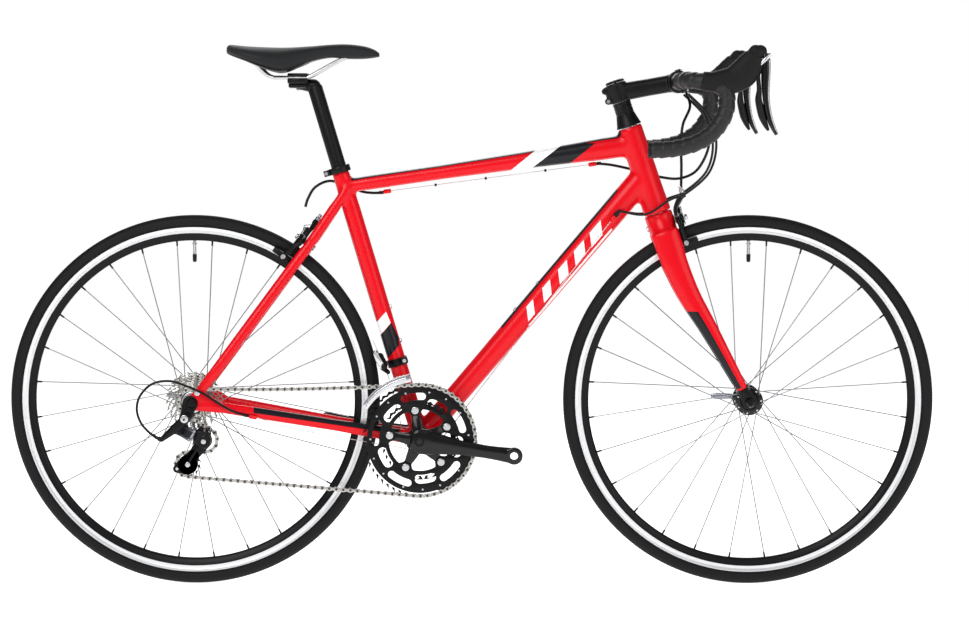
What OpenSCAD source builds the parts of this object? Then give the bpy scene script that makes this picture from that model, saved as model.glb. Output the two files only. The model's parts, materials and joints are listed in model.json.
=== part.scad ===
// Road bicycle, size 56: welded aluminium frame, carbon fork, 700C wheels, 2 x 10 gears.
// Millimetres. +X is forward, +Y is the rider's left, +Z is up.
// The origin is on the ground, midway between the two wheel axles.

/* [Frame geometry] */
// Distance between the wheel axles
wheelbase = 1004.6; // [980:0.1:1030]
// Length of the chain stays, bottom bracket to rear axle
stay_length = 415; // [410:1:420]
// Height of the axles above the bottom bracket
bottom_drop = 70; // [67:1:72]
// Lean of the seat tube from upright, in degrees
seat_lean = 16.6; // [16:0.1:17]
// Lean of the steering axis from upright, in degrees
head_lean = 18.3; // [18:0.1:18.6]
// Offset of the front axle ahead of the steering axis
fork_offset = 50; // [48:1:52]
// Length of the head tube
head_length = 165; // [160:1:170]

/* [Wheels] */
// Radius over the tyre
wheel_radius = 336; // [335:0.5:337]
// Width of the tyre
tyre_width = 25; // [23:1:26]
// Outer radius of the rim
rim_radius = 317; // [316:0.5:318]
// Depth of the rim section
rim_depth = 27.3; // [25:0.1:30]
// Spokes in each wheel
spokes = 28; // [20:4:32]
// Width between the front fork ends
front_width = 100; // [100:1:101]
// Width between the rear frame ends
rear_width = 130; // [130:1:131]

/* [Drive] */
// Crank length, axis to pedal eye
crank_length = 172.5; // [170:2.5:175]
// Angle of the right crank below level, in degrees
crank_angle = 8.7; // [0:0.1:20]
// Teeth on the large chainring
large_teeth = 50; // [50:1:50]
// Teeth on the small chainring
small_teeth = 34; // [34:1:36]
// Teeth on the derailleur pulleys
pulley_teeth = 11; // [11:1:11]
// Distance of the large chainring from the bicycle's middle
large_ring_y = 47; // [46.5:0.5:47.5]
// Distance of the smallest sprocket from the bicycle's middle
small_sprocket_y = 60.9; // [60.8:0.1:61]

/* [Bars and seat post] */
// Width of the handlebar, centre to centre
bar_width = 420; // [400:10:440]
// Length of the stem
stem_length = 110; // [105:1:112]
// Diameter of the seat post
post_d = 27.2; // [27.2:0.1:27.4]

/* [Hidden] */
$fn = 48;

// Gap that keeps welded or bolted neighbours from sharing metal
seam = 0.1;
// Radial clearance of a shaft that turns or slides in a bore
run = 0.05;
chain_pitch = 12.7;

// Centres of the axles and of the bottom bracket
rear = [-wheelbase / 2, 0, wheel_radius];
front = [wheelbase / 2, 0, wheel_radius];
bb = [rear.x + sqrt(stay_length * stay_length - bottom_drop * bottom_drop), 0, wheel_radius - bottom_drop];
// Foot of the steering axis: the point on it that is nearest to the front axle
foot = front - fork_offset * [cos(head_lean), 0, sin(head_lean)];
// Heights along the steering axis, measured from its foot
crown_low = 340;
head_low = 373.7;
head_high = head_low + head_length;
cover_high = head_high + 24;
spacer_high = cover_high + 22.5;
stem_high = spacer_high + 36;
steerer_r = 14.3;
bar_rise = -15.8;
// Height of the front brake's bolt
brake_height = 351;

// A point on the seat tube's axis at height z, and one on the steering axis
function on_seat(z) = [bb.x - (z - bb.z) * tan(seat_lean), 0, z];
function on_steer(h) = foot + h * [-sin(head_lean), 0, cos(head_lean)];
seat_axis = [-sin(seat_lean), 0, cos(seat_lean)];
bar_centre = on_steer(spacer_high + 18 + bar_rise)
    + sqrt(stem_length * stem_length - bar_rise * bar_rise) * [cos(head_lean), 0, sin(head_lean)];

/* ---- Helpers ---- */
function unit(v) = v / norm(v);
function flip(v) = [v.x, -v.y, v.z];
function pick(r, i) = is_list(r) ? r[i] : r;
function tangent(p, i) = unit(p[min(i + 1, len(p) - 1)] - p[max(i - 1, 0)]);
function carry(n, t) = unit(n - (n * t) * t);
function sides_of(p, up) = [
    for (i = 0, n = carry(up, tangent(p, 0)); i < len(p);
        n = carry(n, tangent(p, min(i + 1, len(p) - 1))), i = i + 1) n
];
// A smooth curve through points p, with k steps between neighbours
function curve(p, k) = concat(
    [for (i = [0 : len(p) - 2], j = [0 : k - 1])
        let (t = j / k, a = p[max(i - 1, 0)], b = p[i], c = p[i + 1], d = p[min(i + 2, len(p) - 1)])
        0.5 * (2 * b + (c - a) * t + (2 * a - 5 * b + 4 * c - d) * t * t
            + (3 * b - a - 3 * c + d) * t * t * t)],
    [p[len(p) - 1]]);
// One oval ring of points round centre c
function ring(c, t, n, a, b, sides) =
    [for (k = [0 : sides - 1]) c + a * cos(360 * k / sides) * n + b * sin(360 * k / sides) * cross(t, n)];
function quad(a, b, c, d) = [[a, c, b], [a, d, c]];

// Closed skin over rings that all have the same number of points
module skin(rings) {
    s = len(rings[0]);
    last = len(rings) - 1;
    walls = [for (i = [0 : last - 1], k = [0 : s - 1])
        each quad(i * s + k, i * s + (k + 1) % s, (i + 1) * s + (k + 1) % s, (i + 1) * s + k)];
    caps = [[for (k = [0 : s - 1]) k], [for (k = [s - 1 : -1 : 0]) last * s + k]];
    polyhedron([for (r = rings) each r], concat(walls, caps), convexity = 8);
}

// Tube with oval sections along path p; a is the half size along up, b the one across it
module sweep(p, a, b, sides = 12, up = [0, 0, 1]) {
    n = sides_of(p, up);
    skin([for (i = [0 : len(p) - 1]) ring(p[i], tangent(p, i), n[i], pick(a, i), pick(b, i), sides)]);
}

// Tube along stations, each [centre, half size along up, half size across]
module loft(stations, sides = 24, up = [0, 0, 1]) {
    sweep([for (s = stations) s[0]], [for (s = stations) s[1]], [for (s = stations) s[2]], sides, up);
}

// Hollow tube along path p, with outer radius r and inner radius q
module sleeve(p, r, q, sides = 16, up = [0, 0, 1]) {
    n = sides_of(p, up);
    m = len(p);
    function at(i, w) = ring(p[i], tangent(p, i), n[i], w, w, sides);
    s = sides;
    shift = m * s;
    outside = [for (i = [0 : m - 2], k = [0 : s - 1])
        each quad(i * s + k, i * s + (k + 1) % s, (i + 1) * s + (k + 1) % s, (i + 1) * s + k)];
    inside = [for (f = outside) [f[0] + shift, f[2] + shift, f[1] + shift]];
    ends = [for (k = [0 : s - 1]) each concat(
        quad(shift + k, shift + (k + 1) % s, (k + 1) % s, k),
        quad((m - 1) * s + k, (m - 1) * s + (k + 1) % s,
            shift + (m - 1) * s + (k + 1) % s, shift + (m - 1) * s + k))];
    polyhedron(concat([for (i = [0 : m - 1]) each at(i, r)], [for (i = [0 : m - 1]) each at(i, q)]),
        concat(outside, inside, ends), convexity = 8);
}

// Round bar between two points
module rod(a, b, d, d2 = 0) {
    v = b - a;
    translate(a) rotate([0, acos(v.z / norm(v)), atan2(v.y, v.x)])
        cylinder(h = norm(v), d1 = d, d2 = d2 == 0 ? d : d2);
}

// Bar that runs across the bicycle, from side y1 to side y2 at point p
module across(p, y1, y2, r) {
    translate([p.x, min(y1, y2), p.z]) rotate([-90, 0, 0]) cylinder(h = abs(y2 - y1), r = r);
}

// Flat plate of thickness t with its outline in the X-Z plane and its low face at side y
module plate(y, t) {
    translate([0, y + t, 0]) rotate([90, 0, 0]) linear_extrude(t) children();
}

// Outline that joins discs [x, z, r] one after another
module chain_of_discs(discs) {
    for (i = [0 : len(discs) - 2])
        hull() for (j = [i, i + 1]) translate([discs[j][0], discs[j][1]]) circle(discs[j][2], $fn = 32);
}

module mirror_left() {
    children();
    mirror([0, 1, 0]) children();
}

// Children are drawn with z along the steering axis and x ahead of it
module steering() {
    translate(foot) rotate([0, -head_lean, 0]) children();
}

// Children are drawn with z along the seat tube and the bottom bracket at the origin
module seating() {
    translate(bb) rotate([0, -seat_lean, 0]) children();
}

function pitch_radius(teeth) = chain_pitch / (2 * sin(180 / teeth));

// Toothed outline for a chain, turned by turn degrees
module teeth_outline(teeth, turn = 0, tip = 3.4) {
    r = pitch_radius(teeth);
    step = 360 / teeth;
    half = 24 * chain_pitch / r;
    tooth = [[-half / 2, r - 4], [-half / 7, r + tip], [half / 7, r + tip], [half / 2, r - 4]];
    polygon([for (i = [0 : teeth - 1], c = tooth)
        let (w = i * step + c[0] + turn) c[1] * [cos(w), sin(w)]]);
}

/* ---- Frame ---- */
red = "crimson";

module head_solid(gap) {
    steering() translate([0, 0, head_low - gap])
        cylinder(h = head_length + 2 * gap, r1 = 25.5 + gap, r2 = 22.35 + gap);
}

module seat_solid(gap) {
    seating() cylinder(h = 506, r = 15.9 + gap);
}

module shell_solid(gap) {
    across(bb, -34 - gap, 34 + gap, 21 + gap);
}

module head_tube() color(red) difference() {
    head_solid(0);
    steering() translate([0, 0, head_low - 1]) cylinder(h = head_length + 2, r = 20);
}

module seat_tube() color(red) difference() {
    seat_solid(0);
    seating() translate([0, 0, -1]) cylinder(h = 520, r = post_d / 2 + run);
    shell_solid(seam);
}

module bottom_bracket_shell() color(red) difference() {
    shell_solid(0);
    across(bb, -35, 35, 17.5);
}

module top_tube() color(red) difference() {
    low = [on_seat(724).x, 0, 724];
    high = [on_steer(505).x, 0, 799.8];
    loft([
        [low, 12.8, 16],
        [low + 0.33 * (high - low), 12.8, 17],
        [low + 0.62 * (high - low), 15, 18],
        [low + 0.88 * (high - low), 19.5, 18.5],
        [high, 21, 18.5]
    ], 32);
    seat_solid(seam);
    head_solid(seam);
}

down_foot = bb;
down_head = [314.6, 0, 744.5];
module down_tube() color(red) difference() {
    d = down_head - down_foot;
    loft([
        [down_foot, 19.7, 19.7],
        [down_foot + 0.3 * d, 19.7, 19.7],
        [down_foot + 0.6 * d, 21.6, 20.8],
        [down_head, 23.2, 21.6]
    ], 32);
    shell_solid(seam);
    seat_solid(seam);
    head_solid(seam);
}

module chain_stays() color(red) mirror_left() difference() {
    loft([
        [[bb.x - 10, 20, bb.z + 1.7], 14.5, 8],
        [[bb.x - 45, 23, bb.z + 7.7], 13.5, 8],
        [[bb.x - 80, 25.5, bb.z + 13.7], 12, 8],
        [[bb.x - 150, 32, bb.z + 25.7], 10, 8.5],
        [[bb.x - 230, 43, bb.z + 39.4], 10, 8.5],
        [[bb.x - 310, 56, bb.z + 53], 10, 7.5],
        [[rear.x + 50, 63, rear.z - 9], 9.5, 6]
    ], 20);
    translate([rear.x + 30, rear_width / 2 - seam, rear.z - 30]) cube([32, 6 + 2 * seam, 40]);
    shell_solid(seam);
    seat_solid(seam);
}

stay_top = on_seat(722);
// Middle of the brake bridge, and the way out of the stays' plane from it
bridge = [-294, 0, 617.4];
bridge_lean = 36.4;
bridge_out = [-cos(bridge_lean), 0, sin(bridge_lean)];
module seat_stays() color(red) {
    mirror_left() difference() {
        loft([
            [[rear.x + 16.9, 68.6, rear.z + 22.6], 9, 4.2],
            [[rear.x + 30, 68.6, rear.z + 40.5], 9, 4.6],
            [[rear.x + 52, 65.5, rear.z + 70], 9, 6],
            [[-390, 51, 487.6], 9.3, 7.5],
            [[-330, 36, 568.8], 9.5, 7.5],
            [[-285, 24, 629.8], 9.5, 7.5],
            [stay_top + [6, 12, 0], 9, 6.5]
        ], 20);
        seat_solid(seam);
        translate([-300, -1, 500]) cube([100, 1.05, 260]);
    }
    difference() {
        across(bridge, -28, 28, 7);
        mirror_left() loft([[[-330, 36, 568.8], 10, 8], [[-285, 24, 629.8], 10, 8]], 20);
        rod(bridge - 20 * bridge_out, bridge + 20 * bridge_out, 6.2);
    }
}

// Rear frame ends, with open slots for the axle and the derailleur hanger on the right
module end_outline(hanger) {
    difference() {
        union() {
            chain_of_discs([
                [rear.x + 50, rear.z - 9, 9],
                [rear.x, rear.z, 13],
                [rear.x + 12, rear.z + 16, 8]
            ]);
            if (hanger) chain_of_discs([[rear.x, rear.z, 12], [rear.x - 12, rear.z - 27.6, 8.5]]);
        }
        translate([rear.x, rear.z]) circle(5.1);
        translate([rear.x - 5.1 + 2, rear.z - 40]) rotate(-6) square([10.2, 40]);
        if (hanger) translate([rear.x - 12, rear.z - 27.6]) circle(5.05);
    }
}

module dropouts() color(red) {
    plate(rear_width / 2, 6) end_outline(false);
    plate(-rear_width / 2 - 6, 6) difference() {
        chain_of_discs([[rear.x + 50, rear.z - 9, 9], [rear.x, rear.z, 13], [rear.x + 12, rear.z + 16, 8]]);
        translate([rear.x, rear.z]) circle(5.1);
    }
    plate(-rear_width / 2 - 6, 6) difference() {
        chain_of_discs([[rear.x - 14.2, rear.z - 6, 5], [rear.x - 12.4, rear.z - 27.6, 8.5]]);
        translate([rear.x - 12, rear.z - 27.6]) circle(5.05);
        translate([rear.x, rear.z]) circle(13.1);
    }
}

module seat_clamp() color("black") difference() {
    union() {
        seating() translate([0, 0, 503]) cylinder(h = 12, r = 19.5);
        seating() translate([-29, -8, 503]) cube([14, 16, 12]);
    }
    seating() translate([0, 0, 500]) cylinder(h = 6.1, r = 15.9 + seam);
    seating() translate([0, 0, 500]) cylinder(h = 20, r = post_d / 2 + seam);
    seating() translate([-35, -1, 500]) cube([25, 2, 20]);
}

module headset_bearings() color("dimgray") steering() {
    for (h = [head_low + 1, head_high - 13]) difference() {
        translate([0, 0, h]) cylinder(h = 12, r = 20 - seam);
        translate([0, 0, h - 1]) cylinder(h = 14, r = steerer_r + run);
    }
}

module bottom_bracket_cups() color("black") mirror_left() difference() {
    union() {
        across(bb, 34 + seam, 41.5, 21.5);
        across(bb, 14, 34 + 2 * seam, 17.5 - seam);
    }
    across(bb, 10, 45, 12 + run);
}

/* ---- Fittings and cables ---- */
// A bolt head that stands on a tube; p is on the tube's skin and v points out of it
module fitting_bolt(p, v, r, h) {
    rod(p, p + h * unit(v), 2 * r);
}

down_dir = unit(down_head - down_foot);
down_up = [-down_dir.z, 0, down_dir.x];
down_bolts = [for (s = [290, 354]) down_foot + s * down_dir + 20.4 * down_up];
seat_bolts = [for (s = [181, 245]) bb + s * seat_axis + 16.1 * [cos(seat_lean), 0, sin(seat_lean)]];

module frame_fittings() color("black") {
    for (p = down_bolts) fitting_bolt(p, down_up, 4.5, 5);
    for (p = seat_bolts) fitting_bolt(p, [cos(seat_lean), 0, sin(seat_lean)], 4.5, 5);
    // Clamp bolt of the seat collar
    across(on_seat(754) - [27, 0, 9], -11.5, -8.1, 4);
    across(on_seat(754) - [27, 0, 9], 8.1, 11.5, 4);
    // Cable stops and barrel adjusters
    for (y = [-25.5, 25.5]) rod(barrel_at(y), barrel_at(y) - 22 * down_dir, 9);
    for (p = [top_stop_front, top_stop_rear]) rod(p, p + [-14, 0, -2], 8);
    rod(stay_stop, stay_stop + [-14, 0, 2.4], 8);
    // Rear brake bolt and its nut
    rod(bridge - 9 * bridge_out, bridge + 30 * bridge_out, 6);
    rod(bridge + 26 * bridge_out, bridge + 30 * bridge_out, 11);
    rod(bridge - 12 * bridge_out, bridge - 7.2 * bridge_out, 10);
}

function barrel_at(y) = down_foot + 545 * down_dir + [0, y, 0] - 6 * down_up;
top_stop_front = [226, 9, 764.6];
top_stop_rear = [-146, 9, 715.5];
stay_stop = [-386, -64.5, 309];

// Bars' cables that bend as the steering turns, each a list of points chosen by hand
rear_brake_run = [
    [388, -62, 890], [420, -50, 850], [428, -30, 800], [410, 0, 755], [380, 26, 738],
    [344, 36, 740], [300, 37, 752], [255, 24, 762], [227, 9, 764.7]
];
shift_runs = [for (side = [-1, 1]) [
    [388, side * 70, 890], [426, side * 60, 850], [440, side * 46, 800], [428, side * 40, 750],
    [388, side * 38, 713], [357, side * 37, 700], [314, side * 34, 674],
    barrel_at(side * 25.5) + 1 * down_dir
]];
front_brake_run = [
    [392, 64, 894], [398, 45, 868], [384, 22, 836], [382, 15, 800], [386, 14, 760], [388, 14, 732]
];
rear_brake_tail = [
    [-160, 9, 713.4], [-178, 13, 711.5], [-200, 22, 714], [-226, 27, 724], [-258, 27, 733], [-284, 22, 722],
    [-297, 18, 702], [-302, 15, 686]
];
shift_loop = [
    [-401, -65, 312], [-424, -71, 319], [-446, -76, 331], [-480, -79, 353],
    [-508, -79, 366], [-540, -79, 376], [-572, -78, 371], [-594, -77, 350],
    [-600.7, -76, 325], [-594, -75, 301], [-580, -74, 284], [-567, -73, 274]
];
gear_wire_right = [
    barrel_at(-25.5) - 22.3 * down_dir, [bb.x + 30, -12, bb.z - 14], [bb.x, -10, bb.z - 26],
    [bb.x - 34, -19, bb.z - 16], [-200, -34, 264], [-300, -48, 283], [-350, -57, 296], stay_stop + [0.4, 0, 0]
];
gear_wire_left = [
    barrel_at(25.5) - 22.3 * down_dir,
    [bb.x + 30, 12, bb.z - 14], [bb.x, 8, bb.z - 26], [bb.x - 27, -4, bb.z - 14],
    [bb.x - 38, -10, bb.z + 40], [-150, -30, 380], [-168, -38, 425]
];

module cables() color([0.12, 0.12, 0.13]) {
    sweep(curve(rear_brake_run, 4), 2.5, 2.5, 8);
    for (r = shift_runs) sweep(curve(r, 4), 2.2, 2.2, 8);
    sweep(curve(front_brake_run, 4), 2.5, 2.5, 8);
    sweep([top_stop_front + [-14.3, 0, -2], top_stop_rear + [0.3, 0, 0]], 0.8, 0.8, 8);
    sweep(curve(rear_brake_tail, 4), 2.5, 2.5, 8);
    sweep(curve(shift_loop, 3), 2.2, 2.2, 8);
    sweep(curve(gear_wire_right, 3), 0.7, 0.7, 8);
    sweep(curve(gear_wire_left, 3), 0.7, 0.7, 8);
}

/* ---- Chain ---- */
// Belt of circles [centre x, centre z, signed radius, y]; a negative radius turns the chain the other way
knuckle = [-480, 0, 268];
tension = [-510.7, 0, 224.1];
smallest = pitch_radius(12);
belt = [
    [bb.x, bb.z, pitch_radius(large_teeth), -large_ring_y],
    [tension.x, tension.z, pitch_radius(pulley_teeth), -small_sprocket_y],
    [knuckle.x, knuckle.z, -pitch_radius(pulley_teeth), -small_sprocket_y],
    [rear.x, rear.z, smallest, -small_sprocket_y]
];
function span_normal(a, b) = let (dx = b[0] - a[0], dz = b[1] - a[1])
    atan2(dz, dx) + acos((a[2] - b[2]) / sqrt(dx * dx + dz * dz));
function belt_in(i) = span_normal(belt[(i + 3) % 4], belt[i]);
function belt_out(i) = span_normal(belt[i], belt[(i + 1) % 4]);
// The arc on circle i turns by down degrees, falling where the radius is positive
function arc_turn(i) = belt[i][2] > 0
    ? -((belt_in(i) - belt_out(i)) % 360 + 360) % 360
    : ((belt_out(i) - belt_in(i)) % 360 + 360) % 360;
function arc_points(i, n) = [for (k = [0 : n])
    let (c = belt[i], w = belt_in(i) + arc_turn(i) * k / n)
    [c[0] + c[2] * cos(w), c[3], c[1] + c[2] * sin(w)]];
run_from = arc_points(3, 1)[1];
run_to = arc_points(0, 1)[0];
chain_sag = 4;
// The chain leaves each wheel straight, and moves sideways only between the first and last eighth of a run
function crossing(a, b, t) = let (w = max(0, min(1, (8 * t - 1) / 6)))
    [a.x + t * (b.x - a.x), a.y + w * (b.y - a.y), a.z + t * (b.z - a.z)];
top_run = [for (k = [1 : 7]) let (t = k / 8)
    crossing(run_from, run_to, t) - [0, 0, 4 * chain_sag * t * (1 - t)]];
low_run = [for (t = [1 / 8, 7 / 8]) crossing(arc_points(0, 1)[1], arc_points(1, 1)[0], t)];
chain_path = concat(
    arc_points(0, 24), low_run, arc_points(1, 12), arc_points(2, 8), arc_points(3, 12), top_run
);

// One row of side plates: a closed loop with a rectangular section, from side y1 to side y2 of the chain line
module plate_row(y1, y2) {
    m = len(chain_path);
    pts = [for (i = [0 : m - 1])
        let (d = unit(chain_path[(i + 1) % m] - chain_path[(i + m - 1) % m]), n = unit([-d.z, 0, d.x]))
        each [for (c = [[4.1, y1], [4.1, y2], [-4.1, y2], [-4.1, y1]])
            chain_path[i] + c[0] * n + [0, c[1], 0]]];
    polyhedron(pts, [for (i = [0 : m - 1], k = [0 : 3])
        each quad(i * 4 + (k + 1) % 4, i * 4 + k, ((i + 1) % m) * 4 + k, ((i + 1) % m) * 4 + (k + 1) % 4)],
        convexity = 10);
}

module chain() color("silver") {
    plate_row(1.3, 2.75);
    plate_row(-2.75, -1.3);
}

/* ---- Axles and quick-release levers ---- */
module rear_axle() color("silver") {
    across(rear, -rear_width / 2 - 5, rear_width / 2 + 5, 5);
    across(rear, rear_width / 2 - 6, rear_width / 2 - seam, 9);
    across(rear, -rear_width / 2 + seam, -rear_width / 2 + 2.5, 9);
    across(rear, -rear_width / 2 - 18, -rear_width / 2 - 6 - seam, 8);
    across(rear, rear_width / 2 + 6 + seam, rear_width / 2 + 11, 9);
}

module front_axle() color("silver") {
    across(front, -front_width / 2 - 5, front_width / 2 + 5, 4.5);
    mirror_left() across(front, front_width / 2 - 6, front_width / 2 - seam, 8);
    across(front, -front_width / 2 - 16, -front_width / 2 - 6 - seam, 7.6);
    across(front, front_width / 2 + 6 + seam, front_width / 2 + 11, 9);
}

// Quick-release lever at axle a, pivoting on an upright pin outboard of side y, lying back along the bicycle
module skewer_lever(a, y) color("dimgray") translate([a.x, y, a.z]) {
    difference() {
        union() {
            translate([0, 9, -7]) cylinder(h = 14, r = 8);
            hull() {
                translate([-14, 10, 0]) sphere(5, $fn = 24);
                translate([-58, 15, 0]) sphere(5, $fn = 24);
            }
            translate([-14, 6, -5]) cube([10, 8, 10]);
        }
        translate([0, 9, -10]) cylinder(h = 20, r = 2.5 + run);
    }
}

module rear_skewer_lever() skewer_lever(rear, rear_width / 2 + 11.4);
module front_skewer_lever() skewer_lever(front, front_width / 2 + 11.4);

/* ---- Front derailleur ---- */
cage_y = [-55.6, -42.2];
module fd_sector(r1, r2, w1, w2) {
    steps = 16;
    translate([bb.x, bb.z]) polygon(concat(
        [for (k = [0 : steps]) let (w = w1 + (w2 - w1) * k / steps) r1 * [cos(w), sin(w)]],
        [for (k = [steps : -1 : 0]) let (w = w1 + (w2 - w1) * k / steps) r2 * [cos(w), sin(w)]]));
}

module front_derailleur_cage() color("silver") {
    for (y = cage_y) plate(y, 1.4) fd_sector(107.5, 121, 98, 149);
    plate(cage_y[0] + 1.4, cage_y[1] - cage_y[0] - 1.4) fd_sector(110, 119, 144, 149);
    plate(cage_y[0] + 1.4, cage_y[1] - cage_y[0] - 1.4) fd_sector(116, 121, 98, 103);
}

module front_derailleur_clamp() color("dimgray") difference() {
    union() {
        seating() translate([0, 0, 138]) cylinder(h = 14, r = 19);
        seating() translate([8, -25, 138]) cube([12, 10, 14]);
        hull() {
            translate([-160, -24, 404]) sphere(9, $fn = 24);
            translate([-166, -36, 414]) sphere(10, $fn = 24);
        }
        hull() {
            translate([-166, -36, 418]) sphere(8, $fn = 24);
            translate([-158, -47, 400]) sphere(7, $fn = 24);
        }
    }
    seat_solid(seam);
}

/* ---- Rear derailleur ---- */
hanger_eye = rear + [-12, 0, -27.6];
shift_dir = unit([0.12, 0.95, -0.29]);
link_flat = unit([0.843, -0.2515, -0.475]);
link_axis = unit(cross(link_flat, shift_dir));
link_length = 38;
link_root = [-526.5, -65.4, 289.2];
link_tip = link_root + link_length * (cos(30) * link_flat - sin(30) * shift_dir);

module rear_derailleur_bracket() color([0.1, 0.1, 0.11]) {
    difference() {
        union() {
            across(hanger_eye, -rear_width / 2 - 6 - seam, -rear_width / 2 - 22, 10.2);
            across(hanger_eye, -rear_width / 2, -rear_width / 2 - 7, 5);
            hull() {
                translate(hanger_eye + [0, -80, 0]) sphere(7, $fn = 24);
                translate([-541, -78, 283]) sphere(6, $fn = 24);
            }
            hull() {
                translate([-541, -78, 283]) sphere(6, $fn = 24);
                translate([-557, -75, 270]) sphere(4.5, $fn = 24);
            }
        }
        translate(rear) rotate([90, 0, 0]) cylinder(h = 100, r = 14);
        for (s = [-9, 9]) translate(link_root + s * link_axis) sphere(4.2, $fn = 24);
    }
    rod([-557, -75, 270], [-566.5, -73, 273.7], 8);
}

module rear_derailleur_links() color("slategray") {
    for (s = [-9, 9]) hull() {
        translate(link_root + s * link_axis) sphere(3.5, $fn = 24);
        translate(link_tip + s * link_axis) sphere(3.5, $fn = 24);
    }
    rod(link_root - 9 * link_axis, link_root + 9 * link_axis, 5);
}

module rear_derailleur_knuckle() color([0.1, 0.1, 0.11]) difference() {
    union() {
        across(knuckle, -71.2, -88, 13);
        hull() {
            translate([-480, -80, 272]) sphere(11, $fn = 24);
            translate([-474, -80, 282]) sphere(6, $fn = 24);
        }
    }
    across(knuckle, -71, -89, 4 + run);
    across(knuckle, -60, -71.2, 20);
}

module cage_outline(grow) {
    chain_of_discs([
        [knuckle.x, knuckle.z, 11 + grow], [-503, 238, 8], [tension.x, tension.z, 14 + grow], [-530, 216.5, 6]
    ]);
}

module rear_derailleur_cage() color([0.1, 0.1, 0.11]) {
    plate(-67.4, 1.5) cage_outline(2);
    plate(-55.9, 1.5) difference() {
        cage_outline(0);
        translate([-494, 247]) circle(5);
    }
    across(knuckle, -54.4, -88.5, 4);
    across(tension, -54.4, -69.4, 2.5);
    across([-530, 0, 216.5], -67.2, -69.2, 3);
}

module pulley(c, bore) color("black") difference() {
    plate(-small_sprocket_y - 1, 2) translate([c.x, c.z]) teeth_outline(pulley_teeth, 8, 3);
    across(c, -70, -50, bore + run);
}

module guide_pulley() pulley(knuckle, 4);
module tension_pulley() pulley(tension, 2.5);

/* ---- Crankset ---- */
bolt_angles = [for (k = [0 : 4]) 26.5 + 72 * k];
bolt_radius = 55;

module right_arm_frame() translate(bb) rotate([0, crank_angle, 0]) children();

module crank_right() color([0.12, 0.12, 0.13]) {
    difference() {
        right_arm_frame() loft([
                [[-16, -58, 0], 12, 6],
                [[-8, -58, 0], 19, 8],
                [[10, -58.5, 0], 20, 8],
                [[30, -60, 0], 15.5, 7.5],
                [[70, -63.5, 0], 13, 6.5],
                [[120, -65.5, 0], 12, 6.5],
                [[152, -66, 0], 13.5, 6.8],
                [[crank_length, -66, 0], 15.8, 7],
                [[crank_length + 11, -66, 0], 13.4, 6.5],
                [[crank_length + 15.6, -66, 0], 6, 4]
            ], 20);
        across(bb, -52 - seam, -40, 19 + seam);
        right_arm_frame() across([crank_length, 0, 0], -80, -50, 7.14);
    }
    // Spider
    difference() {
        union() {
            plate(-44.9, 2.8) difference() {
                union() {
                    translate([bb.x, bb.z]) circle(24);
                    for (w = bolt_angles) translate([bb.x, bb.z]) rotate(w) union() {
                        translate([0, -8]) square([bolt_radius, 16]);
                        translate([bolt_radius, 0]) circle(8.5);
                    }
                }
                for (w = bolt_angles) translate([bb.x, bb.z]) rotate(w)
                    translate([bolt_radius, 0]) circle(5.05);
            }
            across(bb, -52, -42.5, 19);
        }
        across(bb, -50, -40, 12 + seam);
    }
    // Spindle
    across(bb, -50 + seam, 66, 12);
}

module crank_left() color([0.12, 0.12, 0.13]) difference() {
    translate(bb) rotate([0, 180 + crank_angle, 0]) mirror([0, 1, 0]) union() {
        loft([
            [[-19, -54, 0], 9, 7],
            [[-10, -54, 0], 18, 10],
            [[10, -54.5, 0], 18.5, 10],
            [[30, -57, 0], 14.5, 8],
            [[70, -61.5, 0], 13, 6.5],
            [[120, -65, 0], 12, 6.5],
            [[152, -66, 0], 13.5, 6.8],
            [[crank_length, -66, 0], 15.8, 7],
            [[crank_length + 11, -66, 0], 13.4, 6.5],
            [[crank_length + 15.6, -66, 0], 6, 4]
        ], 20);
    }
    across(bb, 40, 70, 12 + seam);
    translate(bb) rotate([0, 180 + crank_angle, 0]) across([crank_length, 0, 0], 50, 80, 7.14);
}

// Slot that follows an arc of radius r between angles w1 and w2, with width t
module arc_slot(r, w1, w2, t) {
    steps = 6;
    function at(w, q) = q * [cos(w), sin(w)];
    polygon(concat(
        [for (k = [0 : steps]) at(w1 + (w2 - w1) * k / steps, r - t / 2)],
        [at(w2 + 3, r)],
        [for (k = [steps : -1 : 0]) at(w1 + (w2 - w1) * k / steps, r + t / 2)],
        [at(w1 - 3, r)]));
}

module outer_chainring() color([0.15, 0.15, 0.16]) {
    difference() {
        union() {
            plate(-large_ring_y - 0.95, 1.9) translate([bb.x, bb.z]) teeth_outline(large_teeth);
            across(bb, -48.3, -45, 95.5);
        }
        across(bb, -60, -30, 46);
        plate(-60, 30) translate([bb.x, bb.z]) for (w = bolt_angles) {
            rotate(w) translate([bolt_radius, 0]) circle(5.05);
            arc_slot(78, w - 11, w + 11, 9);
            arc_slot(67, w + 25, w + 47, 13);
        }
    }
}

module inner_chainring() color([0.2, 0.2, 0.21]) {
    difference() {
        union() {
            plate(-40.9, 1.8) translate([bb.x, bb.z]) teeth_outline(small_teeth);
            across(bb, -42, -39, 63.5);
        }
        across(bb, -60, -30, 47);
        for (w = bolt_angles)
            plate(-60, 30) translate([bb.x, bb.z]) rotate(w) translate([bolt_radius, 0]) circle(5.05);
    }
}

module chainring_bolts() color("silver") for (w = bolt_angles) {
    c = bb + bolt_radius * [cos(w), 0, sin(w)];
    difference() {
        union() {
            across(c, -50.3, -37, 4.95);
            across(c, -50.3, -48.4, 6.6);
            across(c, -38.9, -36.8, 6.6);
        }
        across(c, -51, -47, 2.9);
    }
}

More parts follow.
